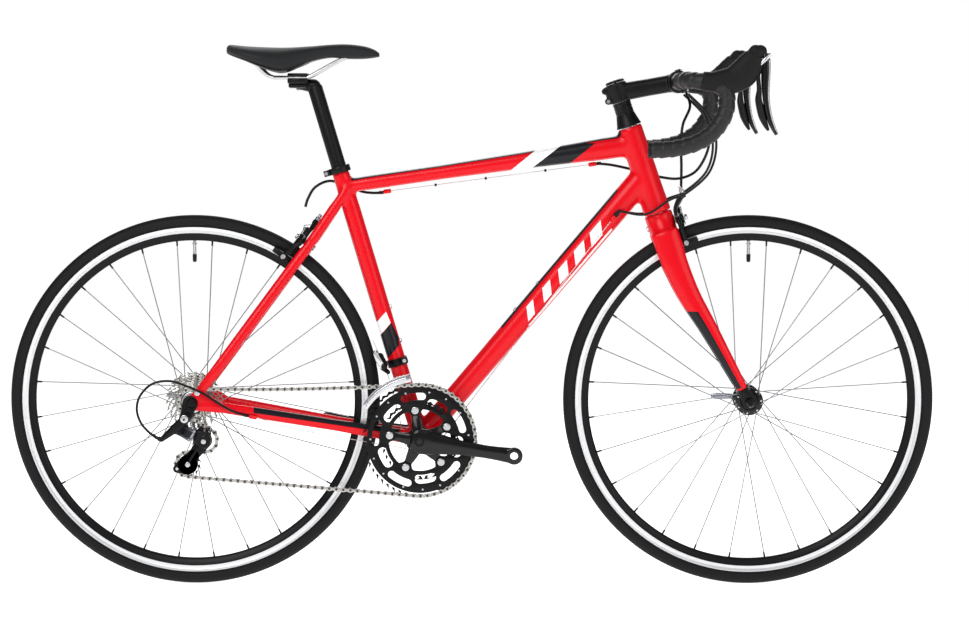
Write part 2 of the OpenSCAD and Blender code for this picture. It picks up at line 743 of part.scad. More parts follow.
/* ---- Cassette ---- */
sprockets = [12, 13, 14, 15, 16, 17, 19, 21, 23, 25];
sprocket_pitch = 3.95;
module cassette() color("silver") {
    for (i = [0 : 9]) difference() {
        plate(-small_sprocket_y + i * sprocket_pitch - 0.8, 1.6)
            translate([rear.x, rear.z]) teeth_outline(sprockets[i], 5 * i, i == 0 ? 3 : 3.2);
        across(rear, -70, 0, 17 + seam);
    }
    difference() {
        across(rear, -62, -21.5, 17);
        across(rear, -70, -10, 5 + run);
    }
    difference() {
        across(rear, -64.4, -62.1, 19);
        across(rear, -70, -10, 9.5);
    }
}

/* ---- Wheels ---- */
module spin(c) {
    translate(c) rotate([90, 0, 0]) rotate_extrude($fn = 180) children();
}

module rim(c) color([0.1, 0.1, 0.11]) spin(c) {
    b = rim_radius - rim_depth;
    polygon([
        [b, -4], [b, 4], [b + 4, 6.5], [b + 13.3, 9.6], [rim_radius, 10.2], [rim_radius, 8.6],
        [rim_radius - 6, 8.2], [rim_radius - 7, 0], [rim_radius - 6, -8.2], [rim_radius, -8.6],
        [rim_radius, -10.2], [b + 13.3, -9.6], [b + 4, -6.5]
    ]);
}

module tyre(c) color([0.08, 0.08, 0.08]) {
    centre = wheel_radius - tyre_width / 2;
    spin(c) difference() {
        union() {
            translate([centre, 0]) circle(tyre_width / 2);
            translate([rim_radius - 5.4, -7.8]) square([12, 15.6]);
        }
        translate([centre, 0]) circle(tyre_width / 2 - 2, $fn = 36);
        translate([rim_radius - 20, -5.8]) square([24, 11.6]);
        for (s = [-20, 7.8]) translate([rim_radius - 20, s]) square([20 + seam, 12.2]);
    }
    // Valve stem
    translate(c + [0, 0, 252]) cylinder(h = rim_radius - rim_depth - 252 - seam, r = 3);
}

// Spokes run from hub flanges at y_left and y_right to the rim, leading or trailing the hub by lead degrees
module spoke_set(c, y_left, y_right, flange_r, lead) color("silver") {
    for (i = [0 : spokes - 1]) {
        left = i % 2 == 0;
        trail = floor(i / 2) % 2 == 0 ? 1 : -1;
        w = (i + 0.5) * 360 / spokes + 90;
        u = w + trail * lead;
        y = (left ? y_left : y_right) + trail * 1.9;
        a = c + [flange_r * cos(u), y, flange_r * sin(u)];
        rim_r = rim_radius - rim_depth + 1;
        b = c + [rim_r * cos(w), (left ? 1.7 : -1.7) + trail * 0.5, rim_r * sin(w)];
        rod(a, b, 1.9);
    }
}

module hub(c, y_left, y_right, flange_r, bore, span) color([0.1, 0.1, 0.11]) {
    difference() {
        union() {
            across(c, span[0], span[1], 13.5);
            for (y = [y_left, y_right]) across(c, y - 1.6, y + 1.6, flange_r + 3.5);
            across(c, y_right, y_right + 5, 17);
            across(c, y_left - 5, y_left, 17);
        }
        for (s = [[span[0] - 1, span[0] + 8], [span[1] - 8, span[1] + 1]]) across(c, s[0], s[1], 11);
        across(c, span[0] - 5, span[1] + 5, bore + 2);
    }
    // Bearings
    for (s = [[span[0] + 0.5, span[0] + 7.9], [span[1] - 7.9, span[1] - 0.5]]) difference() {
        across(c, s[0], s[1], 11 - seam);
        across(c, span[0] - 5, span[1] + 5, bore + run);
    }
}

module rear_rim() rim(rear);
module front_rim() rim(front);
module rear_tyre() tyre(rear);
module front_tyre() tyre(front);
module rear_spokes() spoke_set(rear, 36, -17, 22, 70);
module front_spokes() spoke_set(front, 35, -35, 21.5, 48);
module rear_hub() hub(rear, 36, -17, 22, 5, [-21, 58.5]);
module front_hub() hub(front, 35, -35, 21.5, 4.5, [-43.5, 43.5]);

/* ---- Fork, stem and bars ---- */
module fork() color(red) difference() {
    steering() union() {
        difference() {
            translate([0, 0, crown_low]) cylinder(h = stem_high - crown_low, r = steerer_r);
            translate([0, 0, head_low + 30]) cylinder(h = 400, r = 12);
        }
        hull() {
            translate([0, 0, head_low - 4]) cylinder(h = 3.4, r = 25.5, $fn = 32);
            mirror_left() translate([0, 27, crown_low - 4]) scale([1, 0.5, 1])
                cylinder(h = 4, r = 25.5, $fn = 32);
        }
        mirror_left() loft([
            [[0, 27, crown_low - 2], 25.3, 12.8],
            [[0, 32, 305], 25, 12],
            [[0.5, 36, 274], 23, 11.5],
            [[7, 40.5, 215], 19.5, 10.5],
            [[20.8, 45.5, 152], 15.8, 9.5],
            [[31, 49, 100], 13, 8.5],
            [[40.5, 52, 50], 10.8, 7],
            [[45.5, 53.2, 24], 9.5, 4.5]
        ], 24, [1, 0, 0]);
        mirror_left() translate([0, front_width / 2 + 6, 0]) rotate([90, 0, 0])
        linear_extrude(6) difference() {
            chain_of_discs([[45, 26, 9], [fork_offset, 0, 13]]);
            translate([fork_offset, 0]) circle(4.6);
            translate([fork_offset - 4.6, -30]) square([9.2, 30]);
        }
    }
    steering() translate([-40, 0, brake_height]) rotate([0, 90, 0]) cylinder(h = 100, r = 3.1);
    mirror_left() across(front, 20, front_width / 2 - seam, 16);
}

module headset_cover() color([0.1, 0.1, 0.11]) steering() {
    difference() {
        union() {
            translate([0, 0, head_high + 0.4]) cylinder(h = cover_high - head_high - 0.4, r1 = 22.4, r2 = 17);
            translate([0, 0, cover_high + seam]) cylinder(h = 22.2, r = 16.5);
        }
        translate([0, 0, head_high]) cylinder(h = 60, r = steerer_r + seam);
    }
    translate([0, 0, stem_high + seam]) cylinder(h = 5.5, r1 = 17.5, r2 = 14);
}

bar_local = [sqrt(stem_length * stem_length - bar_rise * bar_rise), 0, spacer_high + 18 + bar_rise];

module stem() color([0.13, 0.13, 0.14]) difference() {
    steering() union() {
        translate([0, 0, spacer_high]) cylinder(h = 36, r = 19);
        translate([-31, -11, spacer_high + 1]) cube([16, 22, 34]);
        rod([0, 0, spacer_high + 18], bar_local, 33, 31);
        across(bar_local, -23, 23, 20.5);
    }
    steering() translate([0, 0, spacer_high - 5]) cylinder(h = 50, r = steerer_r + seam);
    steering() translate([0, 0, spacer_high - 10]) cylinder(h = 10, r = 19.5);
    steering() translate([-40, -1, spacer_high - 1]) cube([27, 2, 40]);
    across(bar_centre, -30, 30, 15.9 + seam);
    steering() translate([bar_local.x, -30, bar_local.z - 40]) cube([60, 60, 80]);
}

module stem_faceplate() color([0.13, 0.13, 0.14]) {
    difference() {
        steering() across(bar_local, -23, 23, 20.5);
        across(bar_centre, -30, 30, 15.9 + seam);
        steering() translate([bar_local.x - 60, -30, bar_local.z - 40]) cube([60.6, 60, 80]);
    }
    // Bolts of the face plate
    for (y = [-16, 16], h = [-17.5, 17.5]) steering()
        rod([bar_local.x + 10.7, y, bar_local.z + h], [bar_local.x + 15, y, bar_local.z + h], 6);
}

// Route of the bar's right half, from the middle to the end; the left half mirrors it
half = bar_width / 2;
bar_route = [
    bar_centre, bar_centre - [0, 60, 0], bar_centre - [0, 150, 0], [379, -186, 913], [396, -204, 911.5],
    [424, -half, 908], [444, -half, 893], [446.3, -half, 868], [439, -half, 845], [420, -half, 820],
    [390, -half, 802.5], [352, -half, 793.5], [313, -half, 791.5]
];
bar_path = let (right = curve([for (i = [1 : len(bar_route) - 1]) bar_route[i]], 3), m = len(right))
    concat([for (i = [m - 1 : -1 : 0]) right[i]], [for (i = [0 : m - 1]) flip(right[i])]);
tape_path = curve([for (i = [1 : len(bar_route) - 1]) bar_route[i]], 3);

module handlebar() color([0.15, 0.15, 0.16]) {
    difference() {
        sweep(bar_path, 11.9, 11.9, 16);
        across(bar_centre, -30, 30, 20);
    }
    across(bar_centre, -30.2, 30.2, 15.9);
}

module bar_tape() color([0.12, 0.12, 0.12]) mirror_left() {
    sleeve(tape_path, 15.2, 12.1, 16);
    rod(bar_route[12] - [0.3, 0, 0], bar_route[12] - [4, 0, 0], 30);
}

// Rubber-covered lever body on one side; side is -1 on the right and 1 on the left
module hood(side) {
    loft([
        [[415, side * half, 912], 12, 12],
        [[432, side * half, 911], 18.5, 15],
        [[455, side * (half - 1), 912], 23, 17],
        [[476, side * (half - 2), 926], 25, 17],
        [[490, side * (half - 2), 944], 23, 16],
        [[499, side * (half - 2), 960], 15, 14],
        [[505, side * (half - 2), 970], 6, 8]
    ], 20, [-0.6, 0, 0.8]);
}

// Room under the hood's front for the shift lever, which swings back with the blade and in by itself
lever_pivot = [508, half - 2, 948];
lever_swing = 23;
module shift_lever_room() hull() for (turn = [0, lever_swing])
    translate(lever_pivot) rotate([0, turn, 0]) translate([-12, -16, -72]) cube([11, 22.5, 54]);

module lever_hoods() color([0.11, 0.11, 0.11]) difference() {
    for (side = [-1, 1]) hood(side);
    sweep(bar_path, 15.3, 15.3, 16);
    mirror_left() shift_lever_room();
    for (side = [-1, 1]) translate([496, side * (half - 2), 890]) rotate([0, -14, 0])
        translate([0, -20, 0]) cube([60, 40, 100]);
}

// The blades hang from pivot pins in the lever bodies
module brake_lever(side) color("dimgray") {
    loft([
        [[510, side * (half - 2), 964], 4, 9],
        [[513, side * (half - 2), 950], 8, 10.5],
        [[513.5, side * (half - 2), 930], 6.5, 10],
        [[514, side * (half - 2), 905], 5, 9],
        [[515.5, side * (half - 1), 880], 4.5, 8],
        [[519, side * half, 853], 4.3, 7.5],
        [[526, side * (half + 2), 832], 4.3, 7.5],
        [[534, side * (half + 3), 818], 3, 5.5]
    ], 16, [1, 0, 0]);
    translate([lever_pivot.x, side * lever_pivot.y, lever_pivot.z]) rotate([90, 0, 0])
        cylinder(h = 23, r = 3.2, center = true);
}

module right_brake_lever() brake_lever(-1);
module left_brake_lever() brake_lever(1);

module shift_lever(side) color([0.08, 0.08, 0.08]) {
    translate([498.5, side * (half - 4), 925]) rotate([0, 90, 0]) cylinder(h = 7.8, r = 3.2);
    loft([
        [[502.5, side * (half - 4), 925], 3, 3],
        [[503, side * (half - 4), 912], 3, 4],
        [[503, side * (half - 4), 896], 4, 6],
        [[502, side * (half - 5), 880], 4.5, 8.5],
        [[501.5, side * (half - 6), 866], 4.5, 9.5],
        [[504, side * (half - 6), 850], 4, 8],
        [[508, side * (half - 6), 836], 2.5, 4]
    ], 16, [1, 0, 0]);
}

module right_shift_lever() shift_lever(-1);
module left_shift_lever() shift_lever(1);

/* ---- Brakes ---- */
// A dual-pivot caliper drawn round its bolt: x points away from the crown and z up; side is the pad's side.
// The pad reaches down to the brake track, drop below the bolt, with its face pad_gap from the rim.
pad_gap = 2;
module brake_arm(side, drop, reach, shift) {
    y = side * (10.2 + pad_gap);
    inner = shift;
    difference() {
        union() {
            hull() {
                translate([inner, 0, 0]) rotate([0, 90, 0]) cylinder(h = 6, r = 9, $fn = 32);
                translate([inner, side * 27, -4]) rotate([0, 90, 0]) cylinder(h = 6, r = 8, $fn = 32);
            }
            hull() {
                translate([inner, side * 27, -4]) rotate([0, 90, 0]) cylinder(h = 6, r = 8, $fn = 32);
                translate([reach - 4, side * 25, -drop + 4]) rotate([0, 90, 0])
                    cylinder(h = 7, r = 5.5, $fn = 32);
            }
            // The upper ends lead to the cable, both on the left
            if (side > 0) hull() {
                translate([inner, 24, 0]) rotate([0, 90, 0]) cylinder(h = 6, r = 8, $fn = 32);
                translate([inner, 30, 16]) rotate([0, 90, 0]) cylinder(h = 6, r = 6, $fn = 32);
            }
            if (side < 0) hull() {
                translate([inner, 0, 6]) rotate([0, 90, 0]) cylinder(h = 6, r = 7, $fn = 32);
                translate([inner, 15, 44]) rotate([0, 90, 0]) cylinder(h = 6, r = 6, $fn = 32);
            }
        }
        translate([inner - 5, 0, 0]) rotate([0, 90, 0]) cylinder(h = 20, r = 3 + run);
    }
    // Pad and its holder
    translate([reach - 17, min(y, y + side * 8.5), -drop - 5]) cube([40, 8.5, 10]);
    translate([reach, side * 23, -drop]) rotate([90, 0, 0]) cylinder(h = 12, r = 3.5, center = true);
}

// Bolts lie along the crown's depth: forward on the fork, backward on the stays' bridge
module front_caliper() steering() translate([0, 0, brake_height]) children();
module rear_caliper() translate(bridge) rotate([0, bridge_lean, 0]) mirror([1, 0, 0]) children();

module front_brake_bolt() color("silver") front_caliper() {
    translate([-34, 0, 0]) rotate([0, 90, 0]) cylinder(h = 82, r = 3);
    translate([44.2, 0, 0]) rotate([0, 90, 0]) cylinder(h = 5, r = 6);
    translate([-38, 0, 0]) rotate([0, 90, 0]) cylinder(h = 10, r = 5);
}

module front_brake_arm_right() color([0.1, 0.1, 0.11]) front_caliper() brake_arm(-1, 43, 31, 28);
module front_brake_arm_left() color([0.1, 0.1, 0.11]) front_caliper() brake_arm(1, 43, 31, 36);
module rear_brake_arm_right() color([0.1, 0.1, 0.11]) rear_caliper() brake_arm(-1, 43, 25, 11);
module rear_brake_arm_left() color([0.1, 0.1, 0.11]) rear_caliper() brake_arm(1, 43, 25, 18);

/* ---- Saddle ---- */
post_bend = on_seat(909);
rail_height = 920;
clamp_x = -313;
module post_head() hull() {
    translate([clamp_x - 16, -17, 905]) cube([34, 34, 6]);
    translate(post_bend - [0, 0, 4]) sphere(12.5, $fn = 32);
}

module seat_post() color([0.12, 0.12, 0.13]) difference() {
    union() {
        rod(post_bend - 270 * seat_axis, post_bend, post_d);
        post_head();
        translate([clamp_x - 18, -27, 909]) cube([36, 54, 10.9]);
    }
    for (side = [-1, 1]) translate([clamp_x - 30, side * 22, rail_height]) rotate([0, 90, 0])
        cylinder(h = 60, r = 3.5 + seam);
}

module saddle_clamp() color("dimgray") {
    difference() {
        translate([clamp_x - 18, -27, rail_height + 0.1]) cube([36, 54, 8]);
        for (side = [-1, 1]) translate([clamp_x - 30, side * 22, rail_height]) rotate([0, 90, 0])
            cylinder(h = 60, r = 3.5 + seam);
    }
}

rail_route = [
    [-226, 12, 956], [-240, 14, 950], [-262, 18, 938],
    [-285, 21.5, 925], [-295, 22, 920.3], [-300, 22, rail_height],
    [-350, 22, rail_height], [-358, 24, 920.5], [-370, 32, 926], [-382, 42, 938], [-390, 46, 950]
];
module saddle_rails() color("silver") mirror_left() sweep(rail_route, 3.5, 3.5, 12);

// Sections across the saddle, tail to nose: [x, half width, underside, crown]
saddle_sections = [
    [-441, 22, 962, 975], [-436, 44, 951, 979], [-425, 60, 947, 978.5], [-405, 70.5, 943, 976.5],
    [-375, 72.5, 938, 975], [-345, 64, 937, 974.3], [-315, 46, 945, 975], [-285, 32, 951, 977],
    [-255, 25, 953, 979.5], [-225, 21.5, 953.5, 980.3], [-195, 19.5, 953.5, 977], [-176, 16.5, 955.5, 971],
    [-166, 9, 957.5, 964]
];
module saddle() color([0.2, 0.2, 0.21]) difference() {
    saddle_skin();
    mirror_left() sweep(rail_route, 3.6, 3.6, 12);
}

module saddle_skin() skin([for (s = saddle_sections)
    let (mid = (s[2] + s[3]) / 2, rise = (s[3] - s[2]) / 2)
    [for (k = [0 : 23]) let (w = 15 * k)
        [s[0], s[1] * cos(w), mid + rise * sign(sin(w)) * pow(abs(sin(w)), 0.7)]]]);

head_tube();
top_tube();
down_tube();
seat_tube();
bottom_bracket_shell();
chain_stays();
seat_stays();
dropouts();
seat_clamp();
frame_fittings();
headset_bearings();
bottom_bracket_cups();
chain();
cables();
rear_axle();
front_derailleur_clamp();
rear_derailleur_bracket();
rear_skewer_lever();
front_derailleur_cage();
rear_derailleur_links();
rear_derailleur_knuckle();
rear_derailleur_cage();
guide_pulley();
tension_pulley();
crank_right();
crank_left();
outer_chainring();
inner_chainring();
chainring_bolts();
cassette();
rear_rim();
rear_tyre();
rear_spokes();
rear_hub();
front_rim();
front_tyre();
front_spokes();
front_hub();
fork();
front_axle();
headset_cover();
stem();
stem_faceplate();
handlebar();
bar_tape();
lever_hoods();
front_brake_bolt();
front_skewer_lever();
left_brake_lever();
right_brake_lever();
left_shift_lever();
right_shift_lever();
front_brake_arm_left();
front_brake_arm_right();
rear_brake_arm_left();
rear_brake_arm_right();
seat_post();
saddle_clamp();
saddle_rails();
saddle();
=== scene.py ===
# %% [markdown]
# # A road bicycle
# The engineering model already holds every body and joint of the bicycle. Here each plain part gets its real
# surface: a welded and powder-coated frame, laced wheels, a chain of separate links, taped bars and a padded
# saddle. We load the model first, and take every place and size from it.

# %% Load the frame
import json
import math

import bmesh
import bpy
from mathutils import Matrix, Vector


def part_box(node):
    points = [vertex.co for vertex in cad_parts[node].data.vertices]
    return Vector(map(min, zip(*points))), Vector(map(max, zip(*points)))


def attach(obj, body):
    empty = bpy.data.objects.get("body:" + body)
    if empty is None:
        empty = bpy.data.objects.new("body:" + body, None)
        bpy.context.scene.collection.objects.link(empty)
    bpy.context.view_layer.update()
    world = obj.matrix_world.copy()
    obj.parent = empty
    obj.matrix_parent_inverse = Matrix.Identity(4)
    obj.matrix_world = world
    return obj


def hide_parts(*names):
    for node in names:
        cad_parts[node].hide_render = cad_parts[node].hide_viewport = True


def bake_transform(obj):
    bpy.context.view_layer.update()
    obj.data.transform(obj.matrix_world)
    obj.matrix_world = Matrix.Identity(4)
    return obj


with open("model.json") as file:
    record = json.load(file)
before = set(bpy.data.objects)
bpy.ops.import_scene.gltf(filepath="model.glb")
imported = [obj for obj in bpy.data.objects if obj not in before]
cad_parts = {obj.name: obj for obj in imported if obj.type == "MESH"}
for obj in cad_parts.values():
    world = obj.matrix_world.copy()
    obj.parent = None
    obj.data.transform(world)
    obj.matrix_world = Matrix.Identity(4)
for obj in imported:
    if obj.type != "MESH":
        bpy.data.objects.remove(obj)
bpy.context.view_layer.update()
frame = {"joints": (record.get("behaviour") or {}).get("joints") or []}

MM = 0.001

# %% [markdown]
# The joints tell us where things turn. Lengths in this script are millimetres, as on a workshop drawing, and
# they become metres only when a mesh is made.

# %% Read the centres and axes from the joints
joints = {j["name"]: j for j in frame["joints"]}
X, Y, Z = Vector((1, 0, 0)), Vector((0, 1, 0)), Vector((0, 0, 1))


def centre(joint):
    return Vector(joints[joint]["pos_m"]) / MM


rear, front, bottom = centre("rear_wheel_spin"), centre("front_wheel_spin"), centre("crank_spin")
steer_up = Vector(joints["steering"]["axis"])
steer_ahead = Vector((steer_up.z, 0, -steer_up.x))
seat_up = Vector(joints["seat_height"]["axis"])
seat_ahead = Vector((seat_up.z, 0, -seat_up.x))
foot = front - 50 * steer_ahead
guide, tension = centre("guide_pulley_spin"), centre("tension_pulley_spin")
tyre_low, tyre_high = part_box("front_tyre")
wheel_r = (tyre_high.z - tyre_low.z) / 2 / MM
print("axles", rear, front, "bottom bracket", bottom, "wheel radius", round(wheel_r, 1))


def on_steer(h, ahead=0, side=0):
    return foot + h * steer_up + ahead * steer_ahead + side * Y


def on_seat(z, ahead=0, side=0):
    return bottom + (z - bottom.z) / seat_up.z * seat_up + ahead * seat_ahead + side * Y


# %% [markdown]
# ## Shapes we need again and again
# A bicycle is mostly tubes, turned parts, flat plates with holes and a few forgings. One small function makes
# each of those as vertices and faces, so that every piece below is a short list of sizes.

# %% A smooth path and a tube that follows it
def flow(points, steps=6):
    """Points along a smooth curve through the given ones."""
    p = [Vector(q) for q in points]
    out = []
    for i in range(len(p) - 1):
        a, b, c, d = p[max(i - 1, 0)], p[i], p[i + 1], p[min(i + 2, len(p) - 1)]
        for j in range(steps):
            t = j / steps
            out.append(0.5 * (2 * b + (c - a) * t + (2 * a - 5 * b + 4 * c - d) * t * t
                              + (3 * b - a - 3 * c + d) * t ** 3))
    return out + [p[-1]]


def tube(path, size, sides=16, up=Z, power=2.0, ends=True):
    """Skin round a path. size is a radius, a pair (along up, across), or a list of either, one for each
    point."""
    path = [Vector(p) for p in path]
    verts, faces, n = [], [], Vector(up)
    for i, p in enumerate(path):
        t = (path[min(i + 1, len(path) - 1)] - path[max(i - 1, 0)]).normalized()
        n = (n - n.dot(t) * t).normalized()
        b = t.cross(n)
        s = size[i] if isinstance(size, list) else size
        r1, r2 = s if isinstance(s, tuple) else (s, s)
        for k in range(sides):
            w = 2 * math.pi * k / sides
            c, d = math.cos(w), math.sin(w)
            c = math.copysign(abs(c) ** (2 / power), c)
            d = math.copysign(abs(d) ** (2 / power), d)
            verts.append(p + r1 * c * n + r2 * d * b)
    for i in range(len(path) - 1):
        for k in range(sides):
            k2 = (k + 1) % sides
            faces.append((i * sides + k, i * sides + k2, (i + 1) * sides + k2, (i + 1) * sides + k))
    if ends:
        faces.append(tuple(range(sides - 1, -1, -1)))
        faces.append(tuple(range(len(verts) - sides, len(verts))))
    return verts, faces


# %% Turned parts, round one axis
def turned(profile, at, axis=Y, steps=64, closed=False):
    """Skin made by turning (radius, height) pairs round an axis. A closed profile makes a ring."""
    axis = Vector(axis).normalized()
    a = axis.orthogonal().normalized()
    if abs(axis.dot(Y)) > 0.99:
        a = X.copy()
    b = axis.cross(a)
    verts, faces, m = [], [], len(profile)
    for k in range(steps):
        w = 2 * math.pi * k / steps
        ray = math.cos(w) * a + math.sin(w) * b
        verts += [Vector(at) + r * ray + h * axis for r, h in profile]
    for k in range(steps):
        k2 = (k + 1) % steps
        for i in range(m if closed else m - 1):
            j = (i + 1) % m
            faces.append((k * m + i, k2 * m + i, k2 * m + j, k * m + j))
    if not closed:
        faces.append(tuple(k * m for k in range(steps - 1, -1, -1)))
        faces.append(tuple(k * m + m - 1 for k in range(steps)))
    return verts, faces


def bar(a, b, r, sides=24, edge=0.6):
    """A round bar from a to b with a small chamfer at both ends."""
    a, b = Vector(a), Vector(b)
    h = (b - a).length
    e = min(edge, h / 3, r / 2)
    return turned([(r - e, 0), (r, e), (r, h - e), (r - e, h)], a, b - a, sides)


# %% Make one object out of several skins
def mesh_of(skins):
    mesh = bpy.data.meshes.new("skin")
    verts, faces = [], []
    for v, f in skins:
        faces += [tuple(i + len(verts) for i in q) for q in f]
        verts += v
    mesh.from_pydata([tuple(p * MM) for p in verts], [], faces)
    bm = bmesh.new()
    bm.from_mesh(mesh)
    bmesh.ops.remove_doubles(bm, verts=bm.verts, dist=1e-6)
    bmesh.ops.recalc_face_normals(bm, faces=bm.faces)
    bm.to_mesh(mesh)
    bm.free()
    return mesh


def settle(obj):
    """Apply the modifiers on an object, so that its mesh is the finished shape."""
    graph = bpy.context.evaluated_depsgraph_get()
    mesh = bpy.data.meshes.new_from_object(obj.evaluated_get(graph), preserve_all_data_layers=True,
                                           depsgraph=graph)
    obj.modifiers.clear()
    obj.data = mesh
    return obj


def loose(name, mesh):
    obj = bpy.data.objects.new(name, mesh)
    bpy.context.scene.collection.objects.link(obj)
    return obj


counts = {}


def finish_piece(obj, body, material, replaces=(), angle=35):
    """Give a finished shape its material, and its body. A shape given two bodies is only fixed in
    place, and rides neither."""
    obj.data.materials.clear()
    for m in material if isinstance(material, list) else [material]:
        obj.data.materials.append(m)
    for p in obj.data.polygons:
        p.use_smooth = True
    obj.data.set_sharp_from_angle(angle=math.radians(angle))
    if isinstance(body, tuple):
        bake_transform(obj)
    else:
        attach(obj, body)
    if replaces:
        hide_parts(*replaces)
    counts[obj.name] = len(obj.data.polygons)
    return obj


def piece(name, skins, body, material, replaces=(), bevel=0, angle=35, smooth=0):
    """Skins to a finished piece; bevel rounds its edges and smooth adds subdivision."""
    obj = loose(name, mesh_of(skins))
    if bevel:
        mod = obj.modifiers.new("Bevel", "BEVEL")
        mod.width, mod.segments, mod.limit_method = bevel * MM, 2, "ANGLE"
        mod.angle_limit = math.radians(40)
    if smooth:
        mod = obj.modifiers.new("Subdivision", "SUBSURF")
        mod.levels = mod.render_levels = smooth
    if bevel or smooth:
        settle(obj)
    return finish_piece(obj, body, material, replaces, angle)


# %% [markdown]
# Forged and cast parts have no sharp corners: metal or carbon flows from one boss into the next. We join
# tapered bars with round ends and let the Remesh modifier wrap one skin round them all, then relax it. The
# same way gives the welded frame its smooth fillets.

# %% Forgings: one relaxed skin round many capsules
def capsule(a, b):
    """Convex skin round two balls, each (x, y, z, radius)."""
    bm = bmesh.new()
    for q in (a, b):
        bmesh.ops.create_icosphere(bm, subdivisions=3, radius=q[3], matrix=Matrix.Translation(q[:3]))
    hull = bmesh.ops.convex_hull(bm, input=bm.verts)
    bmesh.ops.delete(bm, geom=list({v for v in hull["geom_interior"] if isinstance(v, bmesh.types.BMVert)}),
                     context="VERTS")
    bm.verts.index_update()
    skin = [v.co.copy() for v in bm.verts], [tuple(v.index for v in f.verts) for f in bm.faces]
    bm.free()
    return skin


def limb(*balls):
    return [capsule(balls[i], balls[i + 1]) for i in range(len(balls) - 1)]


def forged(name, skins, voxel, body, material, replaces=(), relax=8, soft=()):
    """One skin round all the given ones. soft lists (point, radius) where the metal flows together more."""
    verts, faces = [], []
    for v, f in skins:
        faces += [tuple(i + len(verts) for i in q) for q in f]
        verts += v
    mesh = bpy.data.meshes.new(name)
    mesh.from_pydata([tuple(p * MM) for p in verts], [], faces)
    obj = loose(name, mesh)
    mod = obj.modifiers.new("Remesh", "REMESH")
    mod.mode, mod.voxel_size = "VOXEL", voxel * MM
    settle(obj)
    if soft:
        group = obj.vertex_groups.new(name="soft")
        for v in obj.data.vertices:
            w = max((1 - (v.co / MM - Vector(p)).length / r) for p, r in soft)
            if w > 0:
                group.add([v.index], min(1, 2 * w), "REPLACE")
        mod = obj.modifiers.new("Flow", "SMOOTH")
        mod.factor, mod.iterations, mod.vertex_group = 0.5, 60, "soft"
    mod = obj.modifiers.new("Relax", "SMOOTH")
    mod.factor, mod.iterations = 0.5, relax
    settle(obj)
    obj.vertex_groups.clear()
    return finish_piece(obj, body, material, replaces, 180)


# %% [markdown]
# Chainrings, sprockets and derailleur plates are cut from flat sheet. A filled 2D curve does this well: holes
# are just more outlines, and its bevel breaks the edges as tumbling does.

# %% Flat plates cut from sheet, standing in the bicycle's plane
def cut_plate(outlines, y_low, y_high, edge=0.3):
    """Skin of a plate with (x, z) outlines, the first outside and the rest holes, between two sides."""
    curve = bpy.data.curves.new("plate", "CURVE")
    curve.dimensions, curve.fill_mode = "2D", "BOTH"
    curve.extrude = max((y_high - y_low) / 2 - edge, 0.01) * MM
    curve.bevel_depth, curve.bevel_resolution = edge * MM, 1
    curve.offset = -edge * MM
    for outline in outlines:
        spline = curve.splines.new("POLY")
        spline.points.add(len(outline) - 1)
        for point, (x, z) in zip(spline.points, outline):
            point.co = (x * MM, z * MM, 0, 1)
        spline.use_cyclic_u = True
    obj = loose("plate", curve)
    graph = bpy.context.evaluated_depsgraph_get()
    mesh = bpy.data.meshes.new_from_object(obj.evaluated_get(graph))
    bpy.data.objects.remove(obj)
    middle = (y_low + y_high) / 2
    verts = [Vector((v.co.x / MM, middle - v.co.z / MM, v.co.y / MM)) for v in mesh.vertices]
    faces = [tuple(p.vertices) for p in mesh.polygons]
    bpy.data.meshes.remove(mesh)
    return verts, faces


def disc_outline(at, r, steps=32, turn=0):
    return [(at[0] + r * math.cos(2 * math.pi * k / steps + turn),
             at[2] + r * math.sin(2 * math.pi * k / steps + turn))
            for k in range(steps)]


def hull_outline(discs, steps=48):
    """Convex outline round discs (x, z, r)."""
    points = sorted({(round(x + r * math.cos(2 * math.pi * k / steps), 4),
                      round(z + r * math.sin(2 * math.pi * k / steps), 4)) for x, z,
                      r in discs for k in range(steps)})

    def half(seq):
        out = []
        for p in seq:
            while len(out) > 1 and ((out[-1][0] - out[-2][0]) * (p[1] - out[-2][1])
                                    - (out[-1][1] - out[-2][1]) * (p[0] - out[-2][0])) <= 0:
                out.pop()
            out.append(p)
        return out[:-1]

    return half(points) + half(points[::-1])


def arc_window(at, r, width, low, high, steps=10):
    """Bean-shaped window of a width that follows radius r between two angles in degrees."""
    out = []
    for k in range(steps + 1):
        w = math.radians(low + (high - low) * k / steps)
        out.append((at[0] + (r - width / 2) * math.cos(w), at[2] + (r - width / 2) * math.sin(w)))
    for sign, base in ((1, high), (-1, low)):
        cx, cz = at[0] + r * math.cos(math.radians(base)), at[2] + r * math.sin(math.radians(base))
        cap = []
        for k in range(1, 8):
            turn = math.radians(base) + math.pi - sign * math.pi * k / 8
            out_r = width / 2
            cap.append((cx + out_r * math.cos(turn), cz + out_r * math.sin(turn)))
        if sign == 1:
            high_cap = cap
        else:
            low_cap = cap
    outer = []
    for k in range(steps + 1):
        w = math.radians(high - (high - low) * k / steps)
        outer.append((at[0] + (r + width / 2) * math.cos(w), at[2] + (r + width / 2) * math.sin(w)))
    return out + high_cap + outer + low_cap[::-1]


PITCH = 12.7


def pitch_radius(teeth):
    return PITCH / (2 * math.sin(math.pi / teeth))


